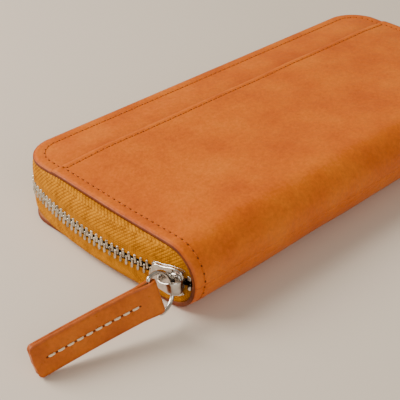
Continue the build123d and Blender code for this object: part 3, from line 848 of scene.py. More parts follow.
# %% Edge and seam stitching
def edge_line(inset, first_s):
    """x and s of a line that follows the cut edge at an inset, from spine to spine."""
    radius = CORNER_RADIUS - inset
    side = np.linspace(first_s, s_of(ZIP_Y - CORNER_RADIUS), 220)[:-1]
    turn = np.linspace(0, np.pi / 2, 30)
    x_side = np.full(len(side), -(HALF_LENGTH - inset))
    x_turn = -(HALF_LENGTH - CORNER_RADIUS) - radius * np.cos(turn)
    s_turn = s_of(ZIP_Y - CORNER_RADIUS) + radius * np.sin(turn)
    x_half = np.concatenate([x_side, x_turn])
    s_half = np.concatenate([side, s_turn])
    middle = np.linspace(x_half[-1], -x_half[-1], 300)[1:-1]
    x_all = np.concatenate([x_half, middle, -x_half[::-1]])
    s_all = np.concatenate([s_half, np.full(len(middle), s_half[-1]), s_half[::-1]])
    return x_all, s_all


def skin_normals(s):
    """Outward direction of the front's exact shape."""
    turn = np.clip(s / SPINE_RADIUS, 0, np.pi / 2)
    return np.stack([np.zeros_like(s), -np.cos(turn), np.sin(turn)], axis=-1)


x, s = edge_line(STITCH_INSET, 1.2)
height = np.where(y_of(s) <= SEAM_Y, lift(x, s), lift(x, s, panel=False))
front_edge_stitches = stitch_piece("front_edge_stitches", skin(x, s, height), skin_normals(s), case_thread)
bend_front(front_edge_stitches)

back_line = turned_over(skin(x, s, back_lift(x, s)))
back_edge_stitches = stitch_piece(
    "back_edge_stitches", back_line, skin_normals(s) * [1, 1, -1], case_thread, width=0.5, top=0.2
)
bend_back(back_edge_stitches)

x = np.linspace(-HALF_LENGTH + STITCH_INSET + 1.2, HALF_LENGTH - STITCH_INSET - 1.2, 600)
s = np.full_like(x, s_of(SEAM_STITCH_Y))
seam_stitches = stitch_piece("front_seam_stitches", skin(x, s, lift(x, s)), skin_normals(s), case_thread)
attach(seam_stitches, "front")

# %% [markdown]
# ## The zip's path
# Seen from above, the zip follows the open edge: it bows out of each short side on a wide
# arc, turns the corner on a tight one and runs straight along the long side. A distance along
# it, the run, starts at the spine end beside the slider. The bow's centre is the axis that
# the slider travels about, so it is read from the frame.

# %% Path of the zip
BOW_RADIUS = 150.0
TURN_RADIUS = 13.0
CHAIN_PROUD = 1.0
travel = np.array(hinges["slider_travel"]["pos_m"]) / MM
BOW_X, BOW_Y = travel[0], travel[1]
LINE_Y = ZIP_Y + CHAIN_PROUD
TURN_Y = LINE_Y - TURN_RADIUS
TURN_X = BOW_X - np.sqrt((BOW_RADIUS - TURN_RADIUS) ** 2 - (TURN_Y - BOW_Y) ** 2)
CHAIN_END_FROM_SPINE = 3.4
CHAIN_END_Y = SPINE_Y + CHAIN_END_FROM_SPINE
BOW_START = np.pi - np.arcsin((CHAIN_END_Y - BOW_Y) / BOW_RADIUS)
BOW_STOP = np.pi - np.arcsin((TURN_Y - BOW_Y) / (BOW_RADIUS - TURN_RADIUS))
BOW_RUN = (BOW_START - BOW_STOP) * BOW_RADIUS
TURN_RUN = (BOW_STOP - np.pi / 2) * TURN_RADIUS
CHAIN_LENGTH = 2 * (BOW_RUN + TURN_RUN - TURN_X)
slider_low, slider_high = box_mm("slider_body")
slider_middle = (slider_low + slider_high) / 2
SLIDER_ANGLE = np.arctan2(slider_middle[1] - BOW_Y, slider_middle[0] - BOW_X) % (2 * np.pi)
SLIDER_RUN = (BOW_START - SLIDER_ANGLE) * BOW_RADIUS


def chain_path(run):
    """x, y of the chain at each run, and the direction that points out of the case there."""
    half = np.where(run > CHAIN_LENGTH / 2, CHAIN_LENGTH - run, run)
    side = np.where(run > CHAIN_LENGTH / 2, -1, 1)
    bow = half < BOW_RUN
    turn = ~bow & (half < BOW_RUN + TURN_RUN)
    angle = np.where(bow, BOW_START - half / BOW_RADIUS, BOW_STOP - (half - BOW_RUN) / TURN_RADIUS)
    angle = np.where(bow | turn, angle, np.pi / 2)
    radius = np.where(bow, BOW_RADIUS, TURN_RADIUS)
    centre_x = np.where(bow, BOW_X, np.where(turn, TURN_X, TURN_X + half - BOW_RUN - TURN_RUN))
    centre_y = np.where(bow, BOW_Y, TURN_Y)
    x = (centre_x + radius * np.cos(angle)) * side
    y = centre_y + radius * np.sin(angle)
    return x, y, np.cos(angle) * side, np.sin(angle)


print("zip", round(float(CHAIN_LENGTH), 1), "mm long, slider at", round(float(SLIDER_RUN), 1))

# %% [markdown]
# ## Zip tapes
# Each tape stands at the teeth, arches inwards and is sewn flat just inside the leather's
# edge, so the arch is deep where the chain bows out and shallow at the corners. Its section is
# a line, a quarter of a full, squarish ellipse and a second line. The woven ribs slant one way
# and then the other, like the bones of a herring: rib height goes as the square root of the
# absolute sine of pi x (run + folded height / tan 37 degrees) / pitch. They are real relief.

# %% Zip tapes
TAPE = 0.45
TAPE_STEP = 0.33
TAPE_EDGE = 1.6
BAND = 3.4
SEWN_INSIDE = 0.9
FLANGE = 2.4
RIB_PITCH = 1.7
RIB_HEIGHT = 0.2
RIB_SLANT = np.radians(37)
BONE_TURN = 8.4
arch_height = MIDDLE - TAPE_EDGE - BAND - SHOWN_LEATHER - 0.45


def tape_points(upper):
    """Outer side of a tape as a grid of runs by section points, with its flat coordinates."""
    run = np.linspace(0.3, CHAIN_LENGTH - 0.3, int(CHAIN_LENGTH / TAPE_STEP))[:, None]
    x, y, out_x, out_y = chain_path(run)
    arch_depth = np.clip(SEWN_INSIDE - edge_distance(x, s_of(y)), 1.6, 4.7)
    band = np.linspace(0, BAND, 10)[:-1]
    phi = np.linspace(0, np.pi / 2, 30)
    flange = np.linspace(0, FLANGE, 5)[1:]
    curl = np.concatenate([band * 0, 1 - np.cos(phi) ** 0.8, flange * 0 + 1])[None, :]
    past = np.concatenate([band * 0, phi * 0, flange])[None, :]
    fall = np.concatenate([band, BAND + arch_height * np.sin(phi) ** 0.9, flange * 0 + BAND + arch_height])
    depth = arch_depth * curl + past
    drop = fall[None, :] + 0 * depth
    step = np.hypot(np.diff(depth, axis=1), np.diff(drop, axis=1))
    length = np.concatenate([0 * run, np.cumsum(step, axis=1)], axis=1)
    lean = np.arctan2(np.gradient(depth, axis=1), np.gradient(drop, axis=1).clip(1e-6))
    folded = np.where(length > BONE_TURN, 2 * BONE_TURN - length, length)
    wave = np.abs(np.sin(np.pi * (run + folded / np.tan(RIB_SLANT)) / RIB_PITCH))
    ribbed = smooth(BAND - 0.2, BAND + 0.6, length)
    relief = RIB_HEIGHT * (np.sqrt(wave) - 0.6) * ribbed
    relief += 0.04 * np.abs(np.sin(np.pi * run / 0.8)) * (1 - ribbed)
    push = depth - (TAPE / 2 + relief) * np.cos(lean)
    z = MIDDLE - TAPE_EDGE - drop - relief * np.sin(lean)
    px, py = x - out_x * push, y - out_y * push
    if upper:
        z = THICKNESS - z + zip_side_lift(py) * smooth(2, 9, length)
    reach = np.hypot(py - SPINE_AXIS_Y, z - MIDDLE)
    limit = SPINE_RADIUS - LEATHER - 0.5
    pull = np.where((py < SPINE_AXIS_Y) & (reach > limit), limit / reach, 1)
    py = SPINE_AXIS_Y + (py - SPINE_AXIS_Y) * pull
    z = MIDDLE + (z - MIDDLE) * pull
    # Painted shade: darker in the grooves between the ribs and where the tape runs in under the leather's
    # edge; the plain band at the teeth is darker too.
    tone = ribbed * (1 - wave) * 0.8 + 0.3 * (1 - ribbed) + 0.3 * smooth(9.0, 11.5, length)
    return np.stack([px, py, z], axis=-1), np.stack([run + 0 * length, length], axis=-1), tone


for name, upper, body in (("lower_zip_tape", False, "back"), ("upper_zip_tape", True, "front")):
    points, flat, tone = tape_points(upper)
    if upper:
        points, flat, tone = points[:, ::-1], flat[:, ::-1], tone[:, ::-1]
    tape = sheet_piece(
        name.replace("zip", "twill_zip"), points, TAPE, [tape_cloth] * 3, 0.15, flat, tone, rim_rings=2
    )
    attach(tape, body)
    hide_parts(name)

# %% [markdown]
# ## Teeth
# A metal tooth is stamped with two legs that grip the corded edge of the tape, and a head
# that locks between two heads of the other row. One tooth is a stack of six rounded rings,
# 42 faces in all, copied along the run by arrays. The rows are half a pitch apart.

# %% Teeth
TOOTH_PITCH = 2.6


def tooth_shape():
    """Rings of a tooth: (along the chain, out of the case, towards the other row)."""
    rise = np.array([-1.25, -1.0, 0.2, 1.1, 1.9, 2.35])
    along = np.array([0.36, 0.44, 0.44, 0.34, 0.5, 0.32])
    thick = np.array([1.15, 1.32, 1.32, 1.05, 1.2, 0.75])
    angle = np.linspace(0, 2 * np.pi, 9)[:-1] + np.pi / 8
    c, s = np.cos(angle), np.sin(angle)
    square = (np.abs(c) ** 4 + np.abs(s) ** 4) ** -0.25
    return np.stack([
        np.stack([a * c * square, t * s * square, c * 0 + r], axis=-1)
        for r, a, t in zip(rise, along, thick)
    ])


def teeth_at(name, place, out, towards, scale=1.0):
    """Copies of the tooth at every place: along the chain is out x towards."""
    towards = towards * np.ones((len(place), 1))
    axes = np.stack([np.cross(out, towards), out, towards], axis=1)
    shape = tooth_shape()
    rings, around = shape.shape[:2]
    points = place[:, None, :] + np.einsum("pk,nkc->npc", shape.reshape(-1, 3) * scale, axes)
    one = capped_rings(rings, around)
    faces = repeated(one, rings * around, len(place))
    print(name, len(place), "teeth of", len(one), "faces")
    return make_piece(name, points, faces, [teeth_nickel_with_painted_shade])


def tooth_row(name, first_run, upper):
    """A whole row of teeth on one tape of the main zip."""
    run = np.arange(first_run, CHAIN_LENGTH - SLIDER_RUN, TOOTH_PITCH)
    x, y, out_x, out_y = chain_path(run)
    height = THICKNESS - (MIDDLE - TAPE_EDGE) if upper else MIDDLE - TAPE_EDGE
    place = np.stack([x, y, x * 0 + height], axis=-1)
    out = np.stack([out_x, out_y, x * 0], axis=-1)
    return teeth_at(name, place, out, np.array([0, 0, -1.0 if upper else 1.0]))


for name, shift, upper, body in (("lower", 0.0, False, "back"), ("upper", TOOTH_PITCH / 2, True, "front")):
    row = tooth_row(f"{name}_nickel_teeth", SLIDER_RUN + shift, upper)
    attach(row, body)
    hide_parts(f"{name}_zip_teeth")

# %% [markdown]
# ## Slider
# The slider is cast: two shield shaped plates, wide at the mouth where the rows part, joined
# by a wedge and edged by rails that hold the teeth. A rounded prism makes each of its pieces:
# its outline is drawn with a few points, softened by cutting corners, and its rim is a
# quarter circle. The bail is a broad arch that stands on the outer plate.

# %% Slider pieces
SLIDER_LENGTH = 13.0
SLIDER_INSIDE = 1.5
SLIDER_FACE = 2.7
slider_along = np.array([np.sin(SLIDER_ANGLE), -np.cos(SLIDER_ANGLE), 0])
slider_out = np.array([np.cos(SLIDER_ANGLE), np.sin(SLIDER_ANGLE), 0])
slider_axes = np.stack([slider_along, slider_out, [0, 0, 1]])
slider_place = np.array([BOW_X, BOW_Y, MIDDLE]) + slider_out * BOW_RADIUS


def softened(corners, cuts=3):
    """Closed outline with its corners cut again and again (Chaikin's curve)."""
    line = np.asarray(corners, float)
    for _ in range(cuts):
        after = np.roll(line, -1, axis=0)
        line = np.stack([0.75 * line + 0.25 * after, 0.25 * line + 0.75 * after], axis=1).reshape(-1, 2)
    return line


def prism(outline, low, high, bevel, axes, place, steps=4):
    """Rounded prism: the outline in local x and z, from y = low to high, rims of a quarter circle."""
    ahead = np.roll(outline, -1, axis=0) - np.roll(outline, 1, axis=0)
    inward = np.stack([-ahead[:, 1], ahead[:, 0]], axis=1)
    inward /= np.linalg.norm(inward, axis=1, keepdims=True)
    phi = np.linspace(0, np.pi / 2, steps)
    inset = bevel * np.concatenate([1 - np.sin(phi), 1 - np.cos(phi)])
    level = np.concatenate([low + bevel * (1 - np.cos(phi)), high - bevel * (1 - np.sin(phi))])
    rings = [
        np.stack([o[:, 0], o[:, 0] * 0 + y, o[:, 1]], axis=-1)
        for o, y in ((outline + inward * i, y) for i, y in zip(inset, level))
    ]
    points = np.stack(rings)
    count, around = points.shape[:2]
    faces = grid_faces(count, around, round_cols=True, flip=True).tolist()
    faces += [list(range(around)), list(range((count - 1) * around, count * around))[::-1]]
    return place + points.reshape(-1, 3) @ axes, faces


def joined(parts):
    """Several (points, faces) shapes as one."""
    points, faces, first = [], [], 0
    for p, f in parts:
        points.append(p)
        faces += [[c + first for c in face] for face in f]
        first += len(p)
    return np.concatenate(points), faces


def facing_out(piece):
    """Turns the faces of a closed piece outwards."""
    mesh = bmesh.new()
    mesh.from_mesh(piece.data)
    bmesh.ops.recalc_face_normals(mesh, faces=mesh.faces)
    mesh.to_mesh(piece.data)
    mesh.free()


half = SLIDER_LENGTH / 2
shield = softened([
    (-half, -3.4), (-half + 1.6, -5.3), (-1.2, -5.2), (1.4, -4.3), (half, -4.3),
    (half, 4.3), (1.4, 4.3), (-1.2, 5.2), (-half + 1.6, 5.3), (-half, 3.4),
])
crown = softened([
    (-half + 0.5, -2.2), (-half + 1.7, -3.9), (-2.2, -3.7), (-1.2, -2.4),
    (-1.2, 2.4), (-2.2, 3.7), (-half + 1.7, 3.9), (-half + 0.5, 2.2),
], 2)
wedge = softened([(-half + 0.8, -1.3), (-half + 4.8, -1.1), (-half + 4.8, 1.1), (-half + 0.8, 1.3)], 2)
parts = [
    prism(shield, SLIDER_INSIDE, SLIDER_FACE, 0.45, slider_axes, slider_place),
    prism(shield, -SLIDER_FACE, -SLIDER_INSIDE, 0.45, slider_axes, slider_place),
    prism(crown, SLIDER_FACE - 0.3, SLIDER_FACE + 0.6, 0.55, slider_axes, slider_place),
    prism(wedge, -SLIDER_INSIDE, SLIDER_INSIDE, 0.1, slider_axes, slider_place),
]
for up in (-1, 1):
    rail = softened([
        (-half + 0.4, up * 4.7), (-half + 2.0, up * 4.9), (-0.8, up * 4.8), (2, up * 4.1),
        (half - 0.3, up * 4.05), (half - 0.3, up * 3.3), (1.4, up * 3.3), (-1.2, up * 3.9),
        (-half + 0.4, up * 3.9),
    ], 1)
    parts += [
        prism(rail, 1.0, SLIDER_INSIDE + 0.3, 0.12, slider_axes, slider_place),
        prism(rail, -SLIDER_INSIDE - 0.3, -1.0, 0.12, slider_axes, slider_place),
    ]
slider = make_piece("cast_slider", *joined(parts), [plated])
facing_out(slider)
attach(slider, "slider")
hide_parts("slider_body")

BAIL_MIDDLE = -2.0
BAIL_REACH = 4.2
BAIL_RISE = 4.1
BAIL_THICK = 0.95
BAIL_WIDE = 3.0
BAIL_WIDER_AT_MOUTH = 2.0


def swept_bar(line, width, thick, across):
    """Closed bar along a line: rings of a rounded rectangle, width by thick, square to the line."""
    ahead = np.gradient(line, axis=0)
    ahead /= np.linalg.norm(ahead, axis=1, keepdims=True)
    outward = np.cross(ahead, across)
    angle = np.linspace(0, 2 * np.pi, 25)[:-1]
    c, s = np.cos(angle), np.sin(angle)
    square = (np.abs(c) ** 5 + np.abs(s) ** 5) ** -0.2
    wide = (width[:, None] / 2 * c * square)[..., None] * across
    deep = (thick[:, None] / 2 * s * square)[..., None] * outward[:, None]
    points = line[:, None] + wide + deep
    count, around = points.shape[:2]
    return points.reshape(-1, 3), capped_rings(count, around)


theta = np.linspace(np.pi, 0, 40)
arch_x = BAIL_MIDDLE + BAIL_REACH * np.sign(np.cos(theta)) * np.abs(np.cos(theta)) ** 0.8
arch_y = SLIDER_FACE - 0.3 + BAIL_RISE * np.sin(theta) ** 0.7
arch = slider_place + np.stack([arch_x, arch_y, theta * 0], axis=-1) @ slider_axes
bail_width = BAIL_WIDE + BAIL_WIDER_AT_MOUTH * (1 - smooth(-5.5, -0.5, arch_x))
bail = make_piece(
    "bail_arch",
    *swept_bar(arch, bail_width, np.full(len(arch), BAIL_THICK), np.array([0, 0, 1.0])),
    [plated],
)
facing_out(bail)
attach(bail, "slider")
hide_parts("slider_bail")

# %% [markdown]
# ## D ring
# The ring is bent from round wire: a straight bar inside the fold of the tab, two tight
# corners and one wide bend that hangs in the bail. Its bar is the axis that the tab turns
# about and its depth reaches to the axis that it turns about itself, both from the frame.


# %% D ring
def tube(line, radius, flat_normal, around=14):
    """Closed round tube along a closed flat line: circles square to the line."""
    ahead = np.roll(line, -1, axis=0) - np.roll(line, 1, axis=0)
    ahead /= np.linalg.norm(ahead, axis=1, keepdims=True)
    side = np.cross(flat_normal, ahead)
    angle = np.linspace(0, 2 * np.pi, around + 1)[:-1]
    angle = angle[None, :, None]
    ring = side[:, None] * np.cos(angle) + np.asarray(flat_normal) * np.sin(angle)
    points = line[:, None] + radius * ring
    return points.reshape(-1, 3), grid_faces(len(line), around, round_rows=True, round_cols=True).tolist()


def unit(vector):
    """The vector at length one."""
    return vector / np.linalg.norm(vector)


RING_WIRE = 1.4
RING_BEND = 6.9
RING_CORNER = 1.2
bar = np.array(hinges["tab_swing"]["pos_m"]) / MM
bar_axis = unit(np.array(hinges["tab_swing"]["axis"]))
ring_top = np.array(hinges["ring_swing"]["pos_m"]) / MM
ring_depth = np.linalg.norm(ring_top - bar)
to_bail = unit(ring_top - bar)
bend_x = ring_depth - RING_BEND
corner_y = np.sqrt((RING_BEND - RING_CORNER) ** 2 - (RING_CORNER - bend_x) ** 2)
lean = np.arctan2(corner_y, RING_CORNER - bend_x)
bar_run = np.linspace(-corner_y, corner_y, 20)[:-1]
turn = np.linspace(np.pi, lean, 8)[:-1]
bend = np.linspace(lean, -lean, 40)[:-1]
ring_u = np.concatenate([
    bar_run * 0, RING_CORNER + RING_CORNER * np.cos(turn), bend_x + RING_BEND * np.cos(bend),
    RING_CORNER + RING_CORNER * np.cos(-turn[::-1]),
])
ring_v = np.concatenate([
    bar_run, corner_y + RING_CORNER * np.sin(turn), RING_BEND * np.sin(bend),
    -corner_y - RING_CORNER * np.sin(turn[::-1]),
])
ring_line = bar + ring_u[:, None] * to_bail + ring_v[:, None] * bar_axis
ring = make_piece("wire_d_ring", *tube(ring_line, RING_WIRE / 2, np.cross(to_bail, bar_axis)), [plated])
facing_out(ring)
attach(ring, "ring")
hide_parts("pull_ring")
print("ring reaches", round(float(ring_depth), 2), "mm from its bar to the bail")

# %% [markdown]
# ## Pull tab
# The tab is one strip of thick, glossy leather folded over the ring's bar and glued to
# itself, then saddle stitched by hand down the middle with cream thread. The section is one
# line: along one layer, round the bar, and back along the other, so the two layers, the fold
# and the line between them all come from a single sheet.

# %% Pull tab
TAB_LENGTH = 43.0
TAB_WIDTH = 11.0
TAB_LEATHER = 1.4
TAB_CORNER = 1.6
TAB_GROOVE = 0.14
TAB_HEADING = np.radians(11.6)
TAB_EYE = RING_WIRE / 2 + 0.1
tab_side = np.array([np.sin(TAB_HEADING), np.cos(TAB_HEADING), 0])
tab_along = -unit(np.cross(tab_side, bar_axis))
tab_axes = np.stack([tab_along, bar_axis, np.cross(tab_along, bar_axis)])


def tab_sag(along):
    """The strip has taken a slight bend in use."""
    return 0.5 * np.sin(np.pi * np.clip(along / TAB_LENGTH, 0, 1))


def tab_path():
    """Outer side of the folded strip as (along, out of the face) from one end to the other."""
    end = TAB_LENGTH - TAB_CORNER * (1 - np.sin(np.linspace(np.pi / 2 - 0.12, 0, 8)))
    straight = np.linspace(TAB_LENGTH - TAB_CORNER, 0, 60)[1:]
    along = np.concatenate([end, straight])
    out = TAB_LEATHER + TAB_EYE * (1 - smooth(0, 6.5, along))
    around = np.linspace(0, np.pi, 16)[1:-1]
    fold = TAB_LEATHER + TAB_EYE
    first = np.stack([along, out], axis=-1)
    loop = np.stack([-fold * np.sin(around), fold * np.cos(around)], axis=-1)
    return np.concatenate([first, loop, first[::-1] * [1, -1]])


path = tab_path()
far = np.clip(path[:, 0] - (TAB_LENGTH - TAB_CORNER), 0, TAB_CORNER)
half = TAB_WIDTH / 2 - TAB_CORNER + np.sqrt(TAB_CORNER**2 - far**2)
share = np.linspace(-1, 1, 25)
along, share = np.meshgrid(path[:, 0], share, indexing="ij")
out = path[:, 1][:, None] - 0.12 * np.abs(share) ** 6 * np.sign(path[:, 1])[:, None] + tab_sag(along)
sewn = bell(share * half[:, None], 0.8) * smooth(4, 6, along) * (1 - smooth(38, 40, along))
out = out - TAB_GROOVE * sewn * np.sign(path[:, 1])[:, None]
grid = bar + np.stack([along, share * half[:, None], out], axis=-1) @ tab_axes
flat = np.stack([run_along(path)[:, None] + share * 0, share * half[:, None]], axis=-1)
tab_tone = 0.5 * smooth(0.82, 1.0, np.abs(share)) + 0.4 * smooth(0.25, 0.0, 1 - sewn)
tab = sheet_piece(
    "folded_pull_tab", grid, TAB_LEATHER - 0.02, [tab_leather, tab_edge, flesh_side], 0.3, flat, tab_tone
)
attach(tab, "tab")
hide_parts("pull_tab")

# %% Tab stitching
SADDLE_PITCH = 3.3
SADDLE_STITCH = 2.75
SADDLE_FIRST = 5.6
SADDLE_LAST = 38.6
for face_name, face in (("front", -1), ("back", 1)):
    run = np.linspace(SADDLE_FIRST, SADDLE_LAST, 80)
    height = face * (TAB_LEATHER - 0.1) + tab_sag(run)
    line = bar + np.stack([run, run * 0, height], axis=-1) @ tab_axes
    up = np.repeat([[0, 0, float(face)]], len(run), axis=0) @ tab_axes
    saddle = stitch_piece(
        f"tab_saddle_stitches_{face_name}", line, up, cream_thread, SADDLE_PITCH, SADDLE_STITCH,
        width=0.85, top=0.42,
    )
    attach(saddle, "tab")

# %% [markdown]
# ## Lining
# Each half is lined with a brown twill that is glued to the flesh side of the leather and
# turned in at its edges. It is a flat sheet with two rounded corners, a little uneven. One
# grid serves both halves: turned over, its rows run the other way, so its face stays outward.


# %% Lining
LINING = 0.6


def rounded_sheet(half, near, far, corner, height, cell=2.0):
    """Flat grid at a height; towards its far side each row follows the rounded corners."""
    turn = np.linspace(0, np.pi / 2 - 0.08, 10)
    rows = np.concatenate([
        np.linspace(near, far - corner, int((far - near) / cell))[:-1],
        far - corner + corner * np.sin(turn),
    ])
    past = np.clip(rows - (far - corner), 0, corner)
    wide = half - corner + np.sqrt(corner**2 - past**2)
    share = np.linspace(-1, 1, int(2 * half / cell))
    y, share = np.meshgrid(rows, share, indexing="ij")
    x = share * wide[:, None]
    return np.stack([x, y, np.full_like(x, height)], axis=-1)


def for_front(grid):
    """The same sheet on the front half: turned over, with its rows the other way."""
    return turned_over(grid)[::-1]


low, high = box_mm("back_lining")
lining = rounded_sheet(high[0], low[1], high[1], 6.0, high[2])
lining[..., 2] += 0.12 * ripple(lining[..., 0], lining[..., 1], 8, 40, 21)
for half_name, grid in (("back", lining), ("front", for_front(lining))):
    piece = sheet_piece(
        f"{half_name}_twill_lining", grid, LINING, [lining_cloth] * 3, 0.2, grid[..., :2]
    )
    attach(piece, half_name)
    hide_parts(f"{half_name}_lining")

low, high = box_mm("spine_lining")
inner_radius = SPINE_RADIUS - LEATHER - 0.8
reach = np.arcsin((high[2] - MIDDLE) / (inner_radius + 0.8))
turn, x = np.meshgrid(
    np.linspace(reach, -reach, 30), np.linspace(low[0], high[0], 90), indexing="ij"
)
spine_inside = np.stack([
    x, SPINE_AXIS_Y - inner_radius * np.cos(turn), MIDDLE + inner_radius * np.sin(turn),
], axis=-1)
flat = np.stack([x, turn * inner_radius], axis=-1)
piece = sheet_piece("spine_twill_lining", spine_inside, LINING, [lining_cloth] * 3, 0.2, flat)
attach(piece, "spine")
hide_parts("spine_lining")

# %% [markdown]
# ## Card pockets
# Each half carries three long pockets of thin leather, one step below the other, sewn down
# the middle and at both ends so that two columns of cards fit. The mouth of each pocket has a
# creased line 1.6 mm from its edge, pressed with a hot tool, and stands a little open between
# its seams.

# %% Card pockets
POCKET_LEATHER = 0.65
CREASE_FROM_EDGE = 1.6


def pocket_grid(step):
    """Outer side of a pocket: flat, creased along its mouth, open a little between the seams."""
    low, high = box_mm(f"back_card_slot_{step}")
    grid = rounded_sheet(high[0], low[1], high[1], 2.0, high[2], cell=1.4)
    x, y = grid[..., 0], grid[..., 1]
    from_mouth = high[1] - y
    creased = bell(from_mouth - CREASE_FROM_EDGE, 0.6)
    grid[..., 2] -= 0.12 * creased
    open_part = np.abs(np.sin(np.pi * x / high[0])) * smooth(14, 0, from_mouth)
    grid[..., 2] += 0.3 * open_part - 0.15 * bell(x, 1.2)
    return grid, 0.7 * smooth(1.0, 0.0, from_mouth) + 0.25 * creased


POCKET_TOPS = {}
for step in (1, 2, 3):
    grid, tone = pocket_grid(step)
    POCKET_TOPS[step] = (float(grid[..., 1].max()), float(box_mm(f"back_card_slot_{step}")[1][2]))
    for half_name, placed, shade in (("back", grid, tone), ("front", for_front(grid), tone[::-1])):
        piece = sheet_piece(
            f"{half_name}_card_pocket_{step}", placed, POCKET_LEATHER,
            POCKET_HIDE, 0.2, placed[..., :2] + 100 * step, shade, rim_rings=2,
        )
        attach(piece, half_name)
        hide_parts(f"{half_name}_card_slot_{step}")

pocket_low, pocket_high = box_mm("back_card_slot_1")
y = np.linspace(pocket_low[1] + 2, POCKET_TOPS[1][0] - 1, 240)
z = np.full_like(y, POCKET_TOPS[1][1])
for step in (2, 3):
    z[y < POCKET_TOPS[step][0]] = POCKET_TOPS[step][1]
for side_name, x in (("left", pocket_low[0] + 3), ("middle", 0.0), ("right", pocket_high[0] - 3)):
    line = np.stack([y * 0 + x, y, z], axis=-1)
    for half_name, placed, up in (("back", line, 1.0), ("front", turned_over(line), -1.0)):
        seam = stitch_piece(
            f"{half_name}_pocket_seam_{side_name}", placed, np.stack([y * 0, y * 0, y * 0 + up], axis=-1),
            case_thread, 3.0, 2.2, 0.5, 0.22, 0.3,
        )
        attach(seam, half_name)

# %% [markdown]
# ## Coin pocket
# A flat leather pocket stands in the middle, held by its fold inside the spine. Its two walls
# bulge a little, its side walls fall inwards, and its mouth is closed by a finer zip.


# %% Coin pocket walls
WALL_LEATHER = 0.7
SIDE_LEATHER = 0.6
wall_low, wall_high = box_mm("coin_pocket_back")
wall = rounded_sheet(wall_high[0], wall_low[1], wall_high[1], 0.8, THICKNESS - wall_low[2], cell=2.2)
x, y = wall[..., 0], wall[..., 1]
bulged = np.cos(np.pi * x / 2 / wall_high[0]) * np.sin(np.pi * np.clip((y - wall_low[1]) / 73, 0, 1))
wall[..., 2] += 0.5 * bulged + 0.08 * ripple(x, y, 8, 30, 31)
wall_tone = 0.6 * smooth(1.2, 0, wall_high[1] - y)
walls = (
    ("coin_pocket_front", wall, wall_tone),
    ("coin_pocket_back", for_front(wall), wall_tone[::-1]),
)
for name, placed, shade in walls:
    piece = sheet_piece(
        f"{name}_leather", placed, WALL_LEATHER, POCKET_HIDE, 0.2, placed[..., :2] - 200, shade,
        rim_rings=2,
    )
    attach(piece, "spine")
    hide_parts(name)

for side, name in ((-1, "left"), (1, "right")):
    low, high = box_mm(f"coin_pocket_{name}_side")
    z_rows = np.linspace(low[2] + 0.1, high[2] - 0.1, 14)
    z, y = np.meshgrid(z_rows, np.linspace(low[1], high[1], 50), indexing="ij")
    fallen = 0.45 * np.sin(np.pi * (z - low[2]) / (high[2] - low[2]))
    x = side * (wall_high[0] - 0.15 - fallen)
    grid = np.stack([x, y, z], axis=-1)
    grid = grid[::-1] if side > 0 else grid
    piece = sheet_piece(
        f"coin_pocket_{name}_side_leather", grid, SIDE_LEATHER, POCKET_HIDE, 0.1, grid[..., 1:] + 150
    )
    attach(piece, "spine")
    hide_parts(f"coin_pocket_{name}_side")

low, high = box_mm("coin_pocket_root")
turn, x = np.meshgrid(
    np.linspace(-np.pi / 2, np.pi / 2, 30), np.linspace(low[0], high[0], 80), indexing="ij"
)
root_y = high[1] - (high[1] - low[1] - 0.2) * np.sqrt(np.cos(turn).clip(0, 1))
root_z = MIDDLE + (high[2] - MIDDLE) * np.sin(turn)
root = sheet_piece(
    "coin_pocket_root_leather", np.stack([x, root_y, root_z], axis=-1), WALL_LEATHER,
    POCKET_HIDE, 0.1, np.stack([x, turn * 4 - 60], axis=-1),
)
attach(root, "spine")
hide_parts("coin_pocket_root")

# %% [markdown]
# The coin zip's tapes stand across the mouth and turn inwards, where they are sewn under the
# walls. Its teeth are the same form as the main zip's at a smaller size.

# %% Coin zip
low, high = box_mm("coin_tape_lower")
mouth_y = (low[1] + high[1]) / 2
turn = np.linspace(0, np.pi / 2, 8)
stand = np.linspace(high[2], high[2] - 0.3, 3)[:-1]
inwards = np.linspace(0, 9.0, 16)[1:]
path_y = np.concatenate([stand * 0 + 0.2, 0.2 - 0.5 * (1 - np.cos(turn)), -0.3 - inwards]) + mouth_y
path_z = np.concatenate([stand, high[2] - 0.3 - 0.4 * np.sin(turn), inwards * 0 + high[2] - 0.7])
tape_run = run_along(np.stack([path_y, path_z], axis=-1))
x = np.linspace(low[0] + 0.3, high[0] - 0.3, 160)
grid = np.stack([
    x[None, :] + 0 * path_y[:, None], path_y[:, None] + 0 * x, path_z[:, None] + 0 * x,
], axis=-1)
flat = np.stack([grid[..., 0], tape_run[:, None] + 0 * x], axis=-1)
for name, placed, uv in (("lower", grid, flat), ("upper", for_front(grid), flat[::-1])):
    piece = sheet_piece(f"coin_zip_tape_{name}", placed, 0.4, [tape_cloth] * 3, 0.1, uv, rim_rings=2)
    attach(piece, "spine")
    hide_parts(f"coin_tape_{name}")

COIN_PITCH = 2.0
COIN_TOOTH_SCALE = np.array([0.72, 0.66, 0.74])
for name, up in (("lower", 1.0), ("upper", -1.0)):
    low, high = box_mm(f"coin_teeth_{name}")
    x = np.arange(low[0] + 0.43, high[0], COIN_PITCH)
    place = np.stack([x, x * 0 + mouth_y, x * 0 + (low[2] if up > 0 else high[2])], axis=-1)
    out = np.tile([0, 1.0, 0], (len(x), 1))
    towards = np.array([0, 0, up])
    row = teeth_at(f"coin_{name}_nickel_teeth", place, out, towards, COIN_TOOTH_SCALE)
    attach(row, "spine")
    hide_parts(f"coin_teeth_{name}")

# %% [markdown]
# ## Gussets
# A folded cloth gusset at each side joins the card pockets to the coin pocket, above and
# below. Closed, it is a narrow V that points inwards; when the case opens the V spreads, but
# here each gusset is only baked in place, not blended between the half that it is sewn to and
# the spine, which carries the coin pocket.

